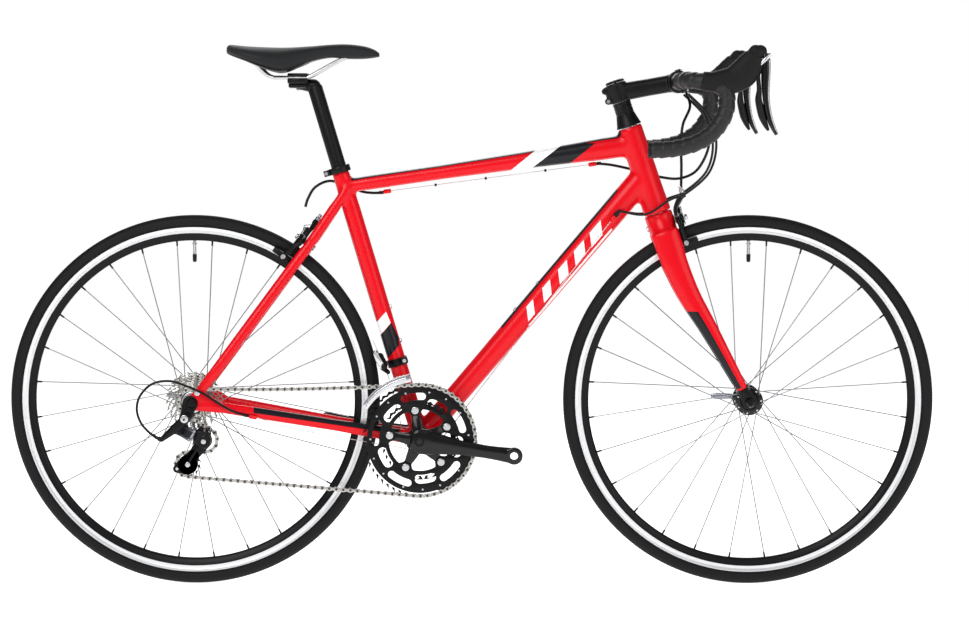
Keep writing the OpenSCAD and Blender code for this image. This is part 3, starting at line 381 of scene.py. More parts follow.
def tooth_outline(at, teeth, turn=0, tip=3.6):
    """Outline of a chain wheel: round roller seats with pointed teeth between them."""
    r, step, out = pitch_radius(teeth), 2 * math.pi / teeth, []
    for i in range(teeth):
        seat = (i + 0.5) * step + turn
        c = (r * math.cos(seat), r * math.sin(seat))
        for k in range(5):
            w = seat + math.pi + math.radians(-62 + 31 * k)
            out.append((at[0] + c[0] + 3.95 * math.cos(w), at[2] + c[1] + 3.95 * math.sin(w)))
        for side in (-1, 1):
            w = seat + step / 2 + side * 0.55 / r
            out.append((at[0] + (r + tip) * math.cos(w), at[2] + (r + tip) * math.sin(w)))
    return out


# %% [markdown]
# ## Geometry Nodes for what repeats
# Spokes, cables and springs are wires along paths; bolts, nipples and chain links are copies at places with a
# direction. Two small trees do all of it. Each ends in Realize Instances and Set Material, because an export
# would drop bare instances.

# %% One function that adds a node
def add_node(tree, kind, links=None, **settings):
    """Add a node, set its properties or its input values, and link sources to its inputs."""
    node = tree.nodes.new(kind)
    for key, value in settings.items():
        if hasattr(node, key):
            setattr(node, key, value)
        else:
            node.inputs[key.replace("_", " ")].default_value = value
    for key, source in (links or {}).items():
        tree.links.new(source, node.inputs[key])
    return node


def new_tree(name, inputs):
    """An empty Geometry Nodes tree with a geometry input and output and the named inputs."""
    tree = bpy.data.node_groups.new(name, "GeometryNodeTree")
    tree.interface.new_socket("Geometry", in_out="INPUT", socket_type="NodeSocketGeometry")
    tree.interface.new_socket("Geometry", in_out="OUTPUT", socket_type="NodeSocketGeometry")
    for title, kind in inputs:
        tree.interface.new_socket(title, in_out="INPUT", socket_type=kind)
    return tree, tree.nodes.new("NodeGroupInput")


def close_tree(tree, geometry, start):
    real = add_node(tree, "GeometryNodeRealizeInstances", {0: geometry})
    paint = add_node(tree, "GeometryNodeSetMaterial", {"Geometry": real.outputs[0],
                                                       "Material": start.outputs["Material"]})
    end = tree.nodes.new("NodeGroupOutput")
    tree.links.new(paint.outputs[0], end.inputs[0])


def run_tree(obj, tree, values):
    """Run a tree on an object with its inputs set by identifier, and keep the result as a plain mesh."""
    mod = obj.modifiers.new(tree.name, "NODES")
    mod.node_group = tree
    for item in tree.interface.items_tree:
        if item.item_type == "SOCKET" and item.in_out == "INPUT" and item.name in values:
            mod[item.identifier] = values[item.name]
    return settle(obj)


# %% The tree that turns edges into round wire
wire_tree, start = new_tree("wire_along_edges", [("Radius", "NodeSocketFloat"), ("Sides", "NodeSocketInt"),
                                                 ("Material", "NodeSocketMaterial")])
lines = add_node(wire_tree, "GeometryNodeMeshToCurve", {0: start.outputs["Geometry"]})
section = add_node(wire_tree, "GeometryNodeCurvePrimitiveCircle",
                   {"Radius": start.outputs["Radius"], "Resolution": start.outputs["Sides"]})
skin = add_node(wire_tree, "GeometryNodeCurveToMesh", {"Curve": lines.outputs[0],
                                                       "Profile Curve": section.outputs[0]}, Fill_Caps=True)
close_tree(wire_tree, skin.outputs[0], start)

# %% The tree that sets copies on points, each with its own direction
copy_tree, start = new_tree("copies_on_points", [("Copy", "NodeSocketObject"),
    ("Material", "NodeSocketMaterial")])
along = add_node(copy_tree, "GeometryNodeInputNamedAttribute", data_type="FLOAT_VECTOR")
along.inputs["Name"].default_value = "along"
out = add_node(copy_tree, "GeometryNodeInputNamedAttribute", data_type="FLOAT_VECTOR")
out.inputs["Name"].default_value = "out"
turn = add_node(copy_tree, "FunctionNodeAxesToRotation", {0: along.outputs[0], 1: out.outputs[0]},
                primary_axis="Z", secondary_axis="X")
source = add_node(copy_tree, "GeometryNodeObjectInfo", {"Object": start.outputs["Copy"]})
placed = add_node(copy_tree, "GeometryNodeInstanceOnPoints",
                  {"Points": start.outputs["Geometry"], "Instance": source.outputs["Geometry"],
                   "Rotation": turn.outputs[0]})
close_tree(copy_tree, placed.outputs[0], start)


# %% Two functions that use the trees
def wires(name, paths, radius, body, material, replaces=(), sides=10):
    """Round wires along one or more paths, as one piece."""
    mesh = bpy.data.meshes.new(name)
    verts, edges = [], []
    for path in paths:
        edges += [(len(verts) + i, len(verts) + i + 1) for i in range(len(path) - 1)]
        verts += [tuple(Vector(p) * MM) for p in path]
    mesh.from_pydata(verts, edges, [])
    obj = run_tree(loose(name, mesh), wire_tree, {"Radius": radius * MM, "Sides": sides,
        "Material": material})
    return finish_piece(obj, body, material, replaces, 60)


def copies(name, skins, places, body, material, replaces=(), bevel=0):
    """Copies of some skins at places, each (point, along, out): the skins' Z goes along, and their X out."""
    model = loose("pattern", mesh_of(skins))
    if bevel:
        mod = model.modifiers.new("Bevel", "BEVEL")
        mod.width, mod.segments = bevel * MM, 1
        settle(model)
    mesh = bpy.data.meshes.new(name)
    mesh.from_pydata([tuple(Vector(p) * MM) for p, a, o in places], [], [])
    for title, k in (("along", 1), ("out", 2)):
        data = mesh.attributes.new(title, "FLOAT_VECTOR", "POINT").data
        for i, place in enumerate(places):
            data[i].vector = Vector(place[k]).normalized()
    obj = run_tree(loose(name, mesh), copy_tree, {"Copy": model, "Material": material})
    bpy.data.objects.remove(model)
    return finish_piece(obj, body, material, replaces, 40)


# %% Socket-head bolts, the most common fitting on the bicycle
def bolt_skins(r, h):
    """A cap bolt along +Z whose head has a hexagon socket."""
    hexagon = r * 0.55
    head = turned([(r * 0.5, -2 * h), (r * 0.5, 0), (r, 0), (r, h * 0.8), (r * 0.85, h), (hexagon, h)],
                  (0, 0, 0), Z, 24)
    head[1].pop()
    wall, floor = turned([(hexagon, h), (hexagon, h * 0.35)], (0, 0, 0), Z, 6)
    floor.pop(-2)
    ring = len(head[0]) // 24
    verts, faces = head
    base = len(verts)
    verts += wall
    faces += [tuple(base + i for i in q) for q in floor]
    for k in range(24):
        a, b = k * ring + ring - 1, ((k + 1) % 24) * ring + ring - 1
        c, d = base + 2 * ((k + 2) // 4 % 6), base + 2 * ((k + 3) // 4 % 6)
        faces.append((a, b, c) if c == d else (a, b, d, c))
    return [(verts, faces)]


def bolts(name, places, r, h, body, material):
    """Bolts whose heads point along the given directions, each (point, direction)."""
    full = [(p, d, Vector(d).orthogonal()) for p, d in places]
    return copies(name, bolt_skins(r, h), full, body, material)

# %% [markdown]
# ## Finishes
# Every colour is written as the hex value that a painter would name, and one function turns it into the
# linear numbers that shaders need. Marks on the paint are flat polygons seen from the side: a point has the
# mark's colour when it lies inside all of the polygon's edges.

# %% Colours and finishes
def colour(code):
    out = []
    for i in (0, 2, 4):
        c = int(code[i:i + 2], 16) / 255
        out.append(c / 12.92 if c <= 0.04045 else ((c + 0.055) / 1.055) ** 2.4)
    return (*out, 1.0)


def planes_of(polygon, sides=None):
    """Planes (direction, offset in mm) round a convex (x, z) polygon given anticlockwise, and between two
    sides."""
    planes = []
    for (x1, z1), (x2, z2) in zip(polygon, polygon[1:] + polygon[:1]):
        n = Vector((z1 - z2, 0, x2 - x1)).normalized()
        planes.append((n, n.dot(Vector((x1, 0, z1)))))
    if sides:
        planes += [(Y, sides[0]), (-Y, -sides[1])]
    return planes


def finish(name, code, metallic=0.0, roughness=0.5, coat=0.0, grain=None, marks=(), sheen=0.0, shine=0.5):
    """A material. grain is (size in mm, depth) of its surface, and marks are (code, polygon, sides)."""
    mat = bpy.data.materials.new(name)
    mat.use_nodes = True
    tree = mat.node_tree
    tree.nodes.clear()
    shader = add_node(tree, "ShaderNodeBsdfPrincipled", Base_Color=colour(code), Metallic=metallic,
                      Roughness=roughness, Coat_Weight=coat, Coat_Roughness=0.06, Sheen_Weight=sheen)
    shader.inputs["Specular IOR Level"].default_value = shine
    place = add_node(tree, "ShaderNodeTexCoord").outputs["Object"]
    if marks:
        paint = add_node(tree, "ShaderNodeRGB")
        paint.outputs[0].default_value = colour(code)
        paint = paint.outputs[0]
        for code, polygon, sides in marks:
            inside = None
            for n, offset in planes_of(polygon, sides):
                dot = add_node(tree, "ShaderNodeVectorMath", {0: place}, operation="DOT_PRODUCT")
                dot.inputs[1].default_value = n
                step = add_node(tree, "ShaderNodeMath", {0: dot.outputs["Value"]}, operation="GREATER_THAN")
                step.inputs[1].default_value = offset * MM
                inside = step.outputs[0] if inside is None else add_node(
                    tree, "ShaderNodeMath", {0: inside, 1: step.outputs[0]}, operation="MULTIPLY").outputs[0]
            mix = add_node(tree, "ShaderNodeMix", {0: inside, 6: paint}, data_type="RGBA")
            mix.inputs[7].default_value = colour(code)
            paint = mix.outputs[2]
        tree.links.new(paint, shader.inputs["Base Color"])
    if grain:
        noise = add_node(tree, "ShaderNodeTexNoise", {"Vector": place}, Scale=1000 / grain[0], Detail=3.0)
        bump = add_node(tree, "ShaderNodeBump", {"Height": noise.outputs[0]}, Strength=grain[1],
                        Distance=0.0004)
        tree.links.new(bump.outputs[0], shader.inputs["Normal"])
    end = add_node(tree, "ShaderNodeOutputMaterial", {0: shader.outputs[0]})
    return mat


black_paint = finish("black_powder_coat", "0c0c0e", 0.0, 0.36, 0.0, (1.2, 0.06), shine=0.2)
gloss_black = finish("gloss_black_anodised", "0a0a0c", 0.0, 0.22, 0.25, shine=0.2)
satin_black = finish("satin_black_anodised", "0e0e10", 0.2, 0.38, 0.0, (0.8, 0.05), shine=0.2)
dark_alloy = finish("grey_anodised_alloy", "8b8f96", 0.9, 0.3, 0.2)
bright_alloy = finish("polished_aluminium", "c8c9cc", 1.0, 0.24)
pin_steel = finish("dark_chain_pin_steel", "3c3a38", 0.9, 0.4)
track_alloy = finish("machined_brake_track", "e3e4e6", 0.85, 0.33, 0.0, (0.5, 0.08))
steel = finish("stainless_steel", "c4c5c7", 1.0, 0.28)
spoke_steel = finish("drawn_spoke_steel", "8e9094", 0.9, 0.36)
zinc = finish("zinc_plated_steel", "a9abae", 1.0, 0.36)
nickel = finish("nickel_plated_steel", "b0aeaa", 1.0, 0.3)
tyre_black = finish("tyre_tread_rubber", "0f0f10", 0.0, 0.62, 0.0, (0.7, 0.35), shine=0.2)
hood_black = finish("soft_hood_rubber", "0d0d0e", 0.0, 0.6, 0.0, (0.6, 0.3), sheen=0.03, shine=0.2)
tape_black = finish("cork_bar_tape", "0e0e0f", 0.0, 0.5, 0.0, (0.9, 0.4), sheen=0.03, shine=0.4)
housing_black = finish("housing_sleeve", "0b0b0c", 0.0, 0.32, 0.0, shine=0.2)
plastic_black = finish("moulded_nylon", "0e0e10", 0.0, 0.42, 0.0, (0.8, 0.1), shine=0.2)
cover_grey = finish("saddle_microfibre", "1c1d1f", 0.0, 0.6, 0.0, (0.7, 0.35), sheen=0.05, shine=0.2)
pad_black = finish("brake_pad_compound", "26262a", 0.0, 0.8, 0.0, (0.6, 0.4), shine=0.2)
red = "d80014"
plain_red = finish("red_gloss_paint", red, 0.0, 0.3, 0.08, shine=0.2)
print("finishes:", [m.name for m in bpy.data.materials])

# %% [markdown]
# ## The welded frame
# The frame is one object, as a welded frame is. Its tubes are swept with their measured oval sections, joined
# under one skin, and relaxed most at the joints, where filed welds leave soft fillets.

# %% Sizes of the frame's tubes
def both(skins):
    """The given skins and their mirror images across the bicycle's middle."""
    out = list(skins)
    for verts, faces in skins:
        out.append(([Vector((v.x, -v.y, v.z)) for v in verts], [q[::-1] for q in faces]))
    return out


def spread(points, sizes, steps=5):
    """Stations along a smooth curve, with sizes that change smoothly too."""
    path = flow(points, steps)
    out = []
    for i in range(len(path)):
        k, t = min(i // steps, len(sizes) - 2), i / steps - min(i // steps, len(sizes) - 2)
        a, b = sizes[k], sizes[k + 1]
        out.append((a[0] + (b[0] - a[0]) * t, a[1] + (b[1] - a[1]) * t))
    return path, out


head_low, head_high = 373.7, 538.7
top_low, top_high = on_seat(724), Vector((on_steer(505).x, 0, 799.8))
top_way = top_high - top_low
down_high = Vector((314.6, 0, 744.5))
down_way = down_high - bottom
down_dir = down_way.normalized()
down_up = Vector((-down_dir.z, 0, down_dir.x))
bridge, bridge_out, bridge_up = Vector((-294, 0, 617.4)), Vector((-0.8049, 0, 0.5934)), Vector((0.5934, 0,
    0.8049))
stay_top = on_seat(722)

head_skin = tube([on_steer(head_low), on_steer(head_low + 40), on_steer(head_high)],
                 [(25.8, 25.8), (24.4, 24.4), (22.6, 22.6)], 48)
top_skin = tube(*spread([top_low + t * top_way for t in (0, 0.33, 0.62, 0.88, 1)],
                        [(12.9, 16.1), (12.9, 17), (15.2, 18), (19.7, 18.6), (21.2, 18.6)]), 40, power=2.3)
down_skin = tube(*spread([bottom + t * down_way for t in (0, 0.3, 0.6, 1)],
                         [(19.9, 19.9), (19.9, 19.9), (21.8, 21), (23.4, 21.8)]), 40, power=2.2)
seat_skin = tube([bottom, bottom + 506 * seat_up], 16.0, 40)
shell_skin = bar(bottom - 34 * Y, bottom + 34 * Y, 21.2, 48, 1)
low_stays = both([tube(*spread(
    [(bottom.x - 8, 19, bottom.z + 1.5), (bottom.x - 45, 23, bottom.z + 7.7),
     (bottom.x - 80, 25.5, bottom.z + 13.7),
     (bottom.x - 150, 32, bottom.z + 25.7), (bottom.x - 230, 43, bottom.z + 39.4),
     (bottom.x - 310, 56, bottom.z + 53), (rear.x + 52, 63, rear.z - 9)],
    [(14.8, 8.4), (13.8, 8.4), (12.4, 8.4), (10.4, 8.9), (10.4, 8.9), (10.4, 8), (9.8, 6.2)]), 24)])
high_stays = both([tube(*spread(
    [(rear.x + 15, 68.4, rear.z + 20), (rear.x + 30, 68.4, rear.z + 40.5), (rear.x + 52, 65.5, rear.z + 70),
     (-390, 51, 487.6), (-330, 36, 568.8), (-285, 24, 629.8), tuple(stay_top + Vector((6, 12, 0)))],
    [(9.4, 4.8), (9.4, 5.1), (9.5, 6.4), (9.7, 7.9), (9.8, 7.9), (9.6, 7.9), (9.4, 7)]), 24)])
bridge_skin = bar(bridge - 28 * Y, bridge + 28 * Y, 7.4, 24)

# %% The marks on the frame's paint
white, ink = "f2f2f2", "15151a"


def along_tube(start, way, s1, s2, t1, t2, slant=0.0):
    """A slanted box in a tube's own coordinates: s along it from start, t up across it."""
    d = Vector(way).normalized()
    u = Vector((-d.z, 0, d.x))
    corners = [(s1, t1), (s2, t1), (s2 + slant * (t2 - t1), t2), (s1 + slant * (t2 - t1), t2)]
    return [tuple((start + s * d + t * u).xz) for s, t in corners]


marks = [
    (ink, along_tube(top_low, top_way, 14, 515, 7, 32), (-12.5, 12.5)),
    (white, [(61.7, 745), (93.7, 745), (167.7, 802), (131.7, 802)], None),
    (ink, [(93.7, 745), (152, 745), (224, 802), (167.7, 802)], None),
    (ink, along_tube(bottom, down_way, 250, 575, 12, 34), (-13, 13)),
    (white, along_tube(bottom, down_way, 285, 515, -19, -15.5), (-30, 30)),
    (ink, along_tube(bottom, seat_up, 165, 446, 10, 24), (-6, 6)),
    (white, [(-185, 431.3), (-146.3, 476.6), (-154.8, 497), (-185, 462.5)], None),
    (ink, [(-185, 373.7), (-131.2, 435.4), (-132.4, 450.5), (-145, 477), (-185, 431.3)], None),
]
marks.append((ink, [(-392, 317), (-130, 275), (-130, 290), (-392, 331)], (-90, -20)))
for k in range(5):
    marks.append((white, along_tube(bottom, down_way, 290 + 44 * k, 308 + 44 * k + 3 * k, -11, 9, 0.9), None))
frame_paint = finish("red_frame_paint", red, 0.0, 0.3, 0.08, marks=marks, shine=0.2)


# %% Join the tubes and bore the frame out
def bore(obj, a, b, r):
    """Cut a round hole right through from a to b."""
    cutter = loose("cutter", mesh_of([bar(a, b, r, 64, 0)]))
    mod = obj.modifiers.new("Bore", "BOOLEAN")
    mod.operation, mod.object, mod.solver = "DIFFERENCE", cutter, "MANIFOLD"
    settle(obj)
    bpy.data.objects.remove(cutter)


joints_of_tubes = [(on_steer(500), 60), (on_steer(410), 65), (on_seat(724), 48), (bottom, 60),
                   (bottom + Vector((-45, 20, 8)), 30), (bottom + Vector((-45, -20, 8)), 30),
                   (bridge + 26 * Y, 16), (bridge - 26 * Y, 16)]
welded = forged("welded_frame", [head_skin, top_skin, down_skin, seat_skin, shell_skin, bridge_skin]
                + low_stays + high_stays, 2.1, "frame", frame_paint,
                ("head_tube", "top_tube", "down_tube", "seat_tube", "bottom_bracket_shell", "chain_stays",
                 "seat_stays"), relax=5, soft=joints_of_tubes)
bore(welded, bottom + 200 * seat_up, bottom + 520 * seat_up, 13.65)
bore(welded, on_steer(head_low - 6), on_steer(head_high + 6), 20)
bore(welded, bottom - 40 * Y, bottom + 40 * Y, 17.6)
bore(welded, bridge - 12 * bridge_out, bridge + 12 * bridge_out, 3.1)
print("welded frame:", len(welded.data.polygons), "faces")


# %% [markdown]
# The frame ends are thick plates with an open slot for the axle. On the right the plate runs down to the
# hanger that holds the rear derailleur.

# %% Frame ends with open slots
def slotted(outline, at, half, down):
    """Cut a slot of half width half into a closed outline, from its edge to the point at, opening along
    down."""
    down = Vector((down[0], down[2])).normalized()
    side = Vector((-down.y, down.x))
    c = Vector((at[0], at[2]))
    points = [Vector(p) for p in outline]

    def inside(p):
        return abs((p - c).dot(side)) < half and (p - c).dot(down) > 0

    first = next(i for i in range(len(points))
                 if not inside(points[i]) and inside(points[(i + 1) % len(points)]))
    ring = [points[(first + 1 + i) % len(points)] for i in range(len(points))]
    kept = [p for p in ring if not inside(p)]
    sign = 1 if (kept[-1] - c).dot(side) > 0 else -1
    reach = max((p - c).dot(down) for p in kept if abs((p - c).dot(side)) < half * 3)
    mouth = [c + sign * half * side + reach * down]
    arc = [c + half * (math.cos(w) * sign * side - math.sin(w) * down) for w in
           [math.pi * k / 12 for k in range(13)]]
    return [tuple(p) for p in kept + mouth + arc + [c - sign * half * side + reach * down]]


slot_down = (-math.sin(math.radians(6)), 0, -math.cos(math.radians(6)))
end_shape = hull_outline([(rear.x + 50, rear.z - 9, 9), (rear.x, rear.z, 13.2),
                          (rear.x + 12, rear.z + 16, 8)])
left_end = cut_plate([slotted(end_shape, rear, 5.1, slot_down)], 65, 71, 1)
right_end = cut_plate([end_shape, disc_outline(rear, 5.2)], -71, -65, 1)
hanger_eye = rear + Vector((-12, 0, -27.6))
hanger = cut_plate([hull_outline([(rear.x - 12, rear.z - 13, 6), (hanger_eye.x, hanger_eye.z, 8.6)]),
                    disc_outline(hanger_eye, 5.05)], -71, -65, 1)
piece("frame_ends", [left_end, right_end, hanger], "frame", plain_red, ("dropouts",))
hanger_cover = cut_plate([hull_outline([(rear.x - 3, rear.z - 1, 14), (hanger_eye.x, hanger_eye.z, 9.6)]),
                          disc_outline(rear, 8.2), disc_outline(hanger_eye, 5.2)], -73.4, -71.05, 0.4)
piece("hanger_cover", [hanger_cover], "frame", satin_black)
bolts("hanger_screw", [(Vector((-492.5, -71, 354)), -Y)], 5, 1.8, "frame", steel)
print("frame ends made, hanger eye at", hanger_eye)

# %% Seat collar with its bolt
collar = turned([(16.1, 0), (19.2, 0), (19.6, 0.6), (19.6, 11.4), (19.2, 12), (14, 12), (14, 9), (16.1, 9)],
                bottom + 503 * seat_up, seat_up, 64, closed=True)
ears = both([tube([bottom + h * seat_up - 23 * seat_ahead + 5 * Y for h in (503.5, 514.5)], (6.5, 3.6), 24,
                  seat_ahead,
                  power=4)])
piece("seat_collar", [collar] + ears, "frame", black_paint, ("seat_clamp",), bevel=0.5)
collar_bolt = bottom + 509 * seat_up - 25 * seat_ahead
bolts("collar_bolt", [(collar_bolt - 9 * Y, -Y), (collar_bolt + 9 * Y, Y)], 3.6, 2.6, "frame", steel)

# %% [markdown]
# ## Fork, stem and bars
# The fork is moulded in one, so it gets the same treatment as the frame. Its inner sides stay clear of the
# tyre.

# %% Fork
def fork_station(h, ahead, side, a, b):
    return on_steer(h, ahead, side), (a, b)


blade = [fork_station(*q) for q in (
    (340, 0, 27, 25.5, 12.8), (305, 0, 32, 25.2, 12), (274, 0.5, 36, 23.2, 11.5), (215, 7, 40.5, 19.8, 10.6),
    (152, 20.8, 45.5, 16.1, 9.6), (100, 31, 49, 13.4, 8.6), (50, 40.5, 52, 11.1, 7), (26, 45, 53.2, 9.8, 5))]
path, sizes = spread([q[0] for q in blade], [q[1] for q in blade], 4)
blade_skins = both([tube(path, sizes, 28, steer_ahead, 2.15)])
crown = tube([on_steer(373.2), on_steer(362), on_steer(348), on_steer(336)],
             [(25.4, 25.4), (25.4, 26.5), (25.4, 33), (25.2, 38.5)], 40, steer_ahead)
fork_marks = [(ink, [tuple(on_steer(h, a).xz) for h, a in ((30, 10), (30, 43.5), (100, 30), (150, 20),
    (185, 12),
                                                         (208, -60))], None)]
fork_paint = finish("red_fork_paint", red, 0.0, 0.3, 0.08, marks=fork_marks, shine=0.2)
fork = forged("moulded_fork", blade_skins + [crown], 1.9, "steering", fork_paint, ("fork",),
              relax=6,
              soft=[(on_steer(352, 0, 28), 26), (on_steer(352, 0, -28), 26), (on_steer(335), 26)])
bore(fork, on_steer(351, -60), on_steer(351, 60), 3.1)
piece("steerer", [bar(on_steer(364), on_steer(621), 14.25, 48)], "steering", zinc, ("fork",))
end_shape = hull_outline([(*on_steer(26, 45).xz, 9.4), (front.x, front.z, 13.2)])
fork_end = cut_plate([slotted(end_shape, front, 4.6, -steer_up)], 50, 56, 0.8)
piece("fork_ends", both([fork_end]), "steering", black_paint, ("fork",))
print("fork:", len(fork.data.polygons), "faces")

# %% Headset, spacers and top cap
piece("headset_cover", [turned([(14.4, 0.4), (22.6, 0.4), (22.6, 3), (21.6, 5), (17.2, 22), (16.9, 23.9),
                                (14.4, 23.9)],
                               on_steer(head_high), steer_up, 72, closed=True)],
      "steering", satin_black, ("headset_cover",))
spacers = []
for h, thick in ((24.1, 10), (34.3, 5), (39.5, 6.9)):
    spacers.append(turned([(14.4, h), (16.1, h), (16.5, h + 0.4), (16.5, h + thick - 0.4), (16.1, h + thick),
                           (14.4, h + thick)], on_steer(head_high), steer_up, 64, closed=True))
piece("spacers", spacers, "steering", black_paint, ("headset_cover",))
piece("top_cap", [turned([(17.4, 0), (17.5, 1), (16.8, 3.2), (15, 4.6), (6, 5.4), (5.4, 3.4)],
                         on_steer(621.3), steer_up, 64)],
      "steering", satin_black, ("headset_cover",))
bolts("top_cap_bolt", [(on_steer(624.9), steer_up)], 4.4, 2.2, "steering", steel)
for side, h in ((1, head_low + 1), (2, head_high - 13)):
    piece(f"headset_bearing_{side}", [turned([(14.4, 0), (19.8, 0), (19.8, 12), (14.4, 12)], on_steer(h),
                                             steer_up,
                                             64, closed=True)], "frame", steel,
                                             ("headset_bearings",))

# %% Stem and face plate
bar_mid = on_steer(587.4, 108.86)
clamp_mid = on_steer(603.2)
stem_skins = [bar(on_steer(585.8), on_steer(620.9), 18.9, 48, 1.5),
              tube([clamp_mid + t * (bar_mid - clamp_mid) for t in (0, 0.12, 0.5, 0.82, 0.97)],
                   [(15.5, 15), (16.4, 15.4), (15.6, 14.6), (15.9, 15.2), (18, 19)], 40, steer_up, 2.6),
              tube([on_steer(h, -16) for h in (587.4, 619.4)], (7, 10.5), 32, steer_ahead, 3.2),
              bar(on_steer(593.5, -22, -10.8), on_steer(593.5, -22, 10.8), 6, 28),
              bar(on_steer(612.5, -22, -10.8), on_steer(612.5, -22, 10.8), 6, 28),
              bar(bar_mid - 22 * Y, bar_mid + 22 * Y, 20.4, 56, 1.5)]
stem = forged("stem", stem_skins, 1.1, "steering", black_paint, ("stem",), relax=5)
bore(stem, on_steer(570), on_steer(640), 14.5)
bore(stem, bar_mid - 40 * Y, bar_mid + 40 * Y, 16.1)
cutter = tube([bar_mid + 0.4 * steer_ahead, bar_mid + 60 * steer_ahead], (60, 60), 4, Y + steer_up)
cut = loose("cutter", mesh_of([cutter]))
mod = stem.modifiers.new("Face", "BOOLEAN")
mod.operation, mod.object, mod.solver = "DIFFERENCE", cut, "MANIFOLD"
settle(stem)
plate = forged("face_plate", [bar(bar_mid - 22 * Y, bar_mid + 22 * Y, 20.4, 56, 1.5)]
               + [bar(on_steer(587.4 + h, 98, y), on_steer(587.4 + h, 118.6, y), 4.6, 20, 1)
                  for y in (-15, 15) for h in (-17.6, 17.6)],
               1.0, "steering", black_paint, ("stem_faceplate",), relax=4)
bore(plate, bar_mid - 40 * Y, bar_mid + 40 * Y, 16.1)
back = tube([bar_mid + 0.9 * steer_ahead, bar_mid - 60 * steer_ahead], (60, 60), 4, Y + steer_up)
cut.data = mesh_of([back])
mod = plate.modifiers.new("Back", "BOOLEAN")
mod.operation, mod.object, mod.solver = "DIFFERENCE", cut, "MANIFOLD"
settle(plate)
bpy.data.objects.remove(cut)
face_bolts = [(on_steer(587.4 + h, 118.6, y), steer_ahead) for y in (-15, 15) for h in (-17.6, 17.6)]
bolts("face_plate_bolts", face_bolts, 3.3, 2.6, "steering", steel)
clamp_bolts = [(on_steer(593.5, -22, -10.4), -Y), (on_steer(612.5, -22, 10.4), Y)]
bolts("stem_clamp_bolts", clamp_bolts, 3.4, 2.4, "steering", steel)

# %% [markdown]
# The bar's right half is a smooth path; the left half mirrors it. Tape is wound from the ends up, so each
# turn lies over the one below and shows its edge as a thin step.

# %% Handlebar and bar tape
half = 210
bar_route = [bar_mid - 60 * Y, bar_mid - 150 * Y, Vector((379, -186, 913)), Vector((396, -204, 911.5)),
             Vector((424, -half, 908)), Vector((444, -half, 893)), Vector((446.3, -half, 868)),
             Vector((439, -half, 845)), Vector((420, -half, 820)), Vector((390, -half, 802.5)),
             Vector((352, -half, 793.5)), Vector((313, -half, 791.5))]
curve_right = flow(bar_route, 5)
middle = [bar_mid - y * Y for y in (52, 42, 32, 24)]
swell = [12.1, 13.4, 15.6, 15.9]
full = curve_right[::-1] + middle + [Vector((p.x, -p.y, p.z)) for p in middle[::-1] + curve_right]
radii = [11.9] * len(curve_right) + swell + swell[::-1] + [11.9] * len(curve_right)
piece("handlebar", [tube(full, radii, 28)], "steering", black_paint, ("handlebar",))


def evenly(path, step):
    """Points about step apart along a path."""
    out, left = [path[0]], step
    for a, b in zip(path, path[1:]):
        length, done = (b - a).length, 0.0
        while length - done >= left:
            done += left
            out.append(a + (b - a) * done / length)
            left = step
        left -= length - done
    return out


def wound(path, low, high, turn, sides=40):
    """Tape wound round a path: its radius climbs from low to high over each turn's width, then drops."""
    verts, faces, n, s = [], [], Z.copy(), 0.0
    for i, p in enumerate(path):
        t = (path[min(i + 1, len(path) - 1)] - path[max(i - 1, 0)]).normalized()
        n = (n - n.dot(t) * t).normalized()
        b = t.cross(n)
        s += (p - path[i - 1]).length if i else 0
        for k in range(sides):
            w = 2 * math.pi * k / sides
            phase = (s / turn + k / sides) % 1
            lift = min(phase / 0.9, 1) if phase < 0.9 else (1 - phase) / 0.1
            r = low + (high - low) * lift ** 0.7
            verts.append(p + r * (math.cos(w) * n + math.sin(w) * b))
    for i in range(len(path) - 1):
        for k in range(sides):
            k2 = (k + 1) % sides
            faces.append((i * sides + k, i * sides + k2, (i + 1) * sides + k2, (i + 1) * sides + k))
    faces.append(tuple(range(sides - 1, -1, -1)))
    faces.append(tuple(range(len(verts) - sides, len(verts))))
    return verts, faces


taped = evenly(flow(bar_route, 8)[4:], 1.4)
tape = wound(taped, 13.5, 15.3, 18)
piece("bar_tape", both([tape]), "steering", tape_black, ("bar_tape",), angle=60)
piece("tape_ends", both([tube(taped[:9], 15.6, 40)]), "steering", housing_black, ("bar_tape",))
plug_at = bar_route[-1]
piece("bar_plugs", both([turned([(10, 0), (14.9, 0), (14.9, 1.6), (13.8, 3.2), (9, 4), (3, 4)],
                                plug_at, Vector((-1, 0, 0)), 40)]),
      "steering", plastic_black, ("bar_tape",))
print("taped length each side:", round(1.4 * len(taped)), "mm")


# %% [markdown]
# Each lever body sits under a rubber hood that grows out of the bar and rises to a horn. The blade swings
# below it, with the shift paddle behind the blade.

# %% Hoods, levers and paddles
def mirrored(skins, side):
    """Skins drawn on the right; side 1 takes them to the left."""
    return skins if side < 0 else both(skins)[len(skins):]


hy = -half + 2
hood_skins = [
    tube(*spread([(404, -half, 911.5), (420, -half, 910), (438, -half, 911), (457, hy - 1, 913.5),
                  (474, hy, 924),
                  (488, hy, 941), (496, hy, 955)],
                 [(16.4, 16.2), (17.4, 16.6), (20.6, 16), (24.2, 15.6), (26, 16), (24, 15.6), (19, 14.4)], 4),
         32, Vector((-0.35, 0, 0.94)), 2.3),
    capsule((492, hy, 953, 14.5), (504.5, hy, 962.5, 11.8)),
    capsule((487, hy, 948, 14), (496, hy, 963, 11.5)),
    capsule((466, hy, 905, 13.5), (486, hy, 921, 14.5)),
    capsule((486, hy, 921, 14.5), (496, hy, 944, 14)),
]
blade_line = [(513, 960, 5, 8.4), (514, 948, 8, 10.4), (514, 930, 8, 10.4), (513.6, 912, 7.6, 9.6),
              (514.4, 884, 6, 8.6), (518.4, 857, 5.4, 8), (524.6, 836, 4.8, 7.8), (533.6, 817.5, 3, 6.2)]
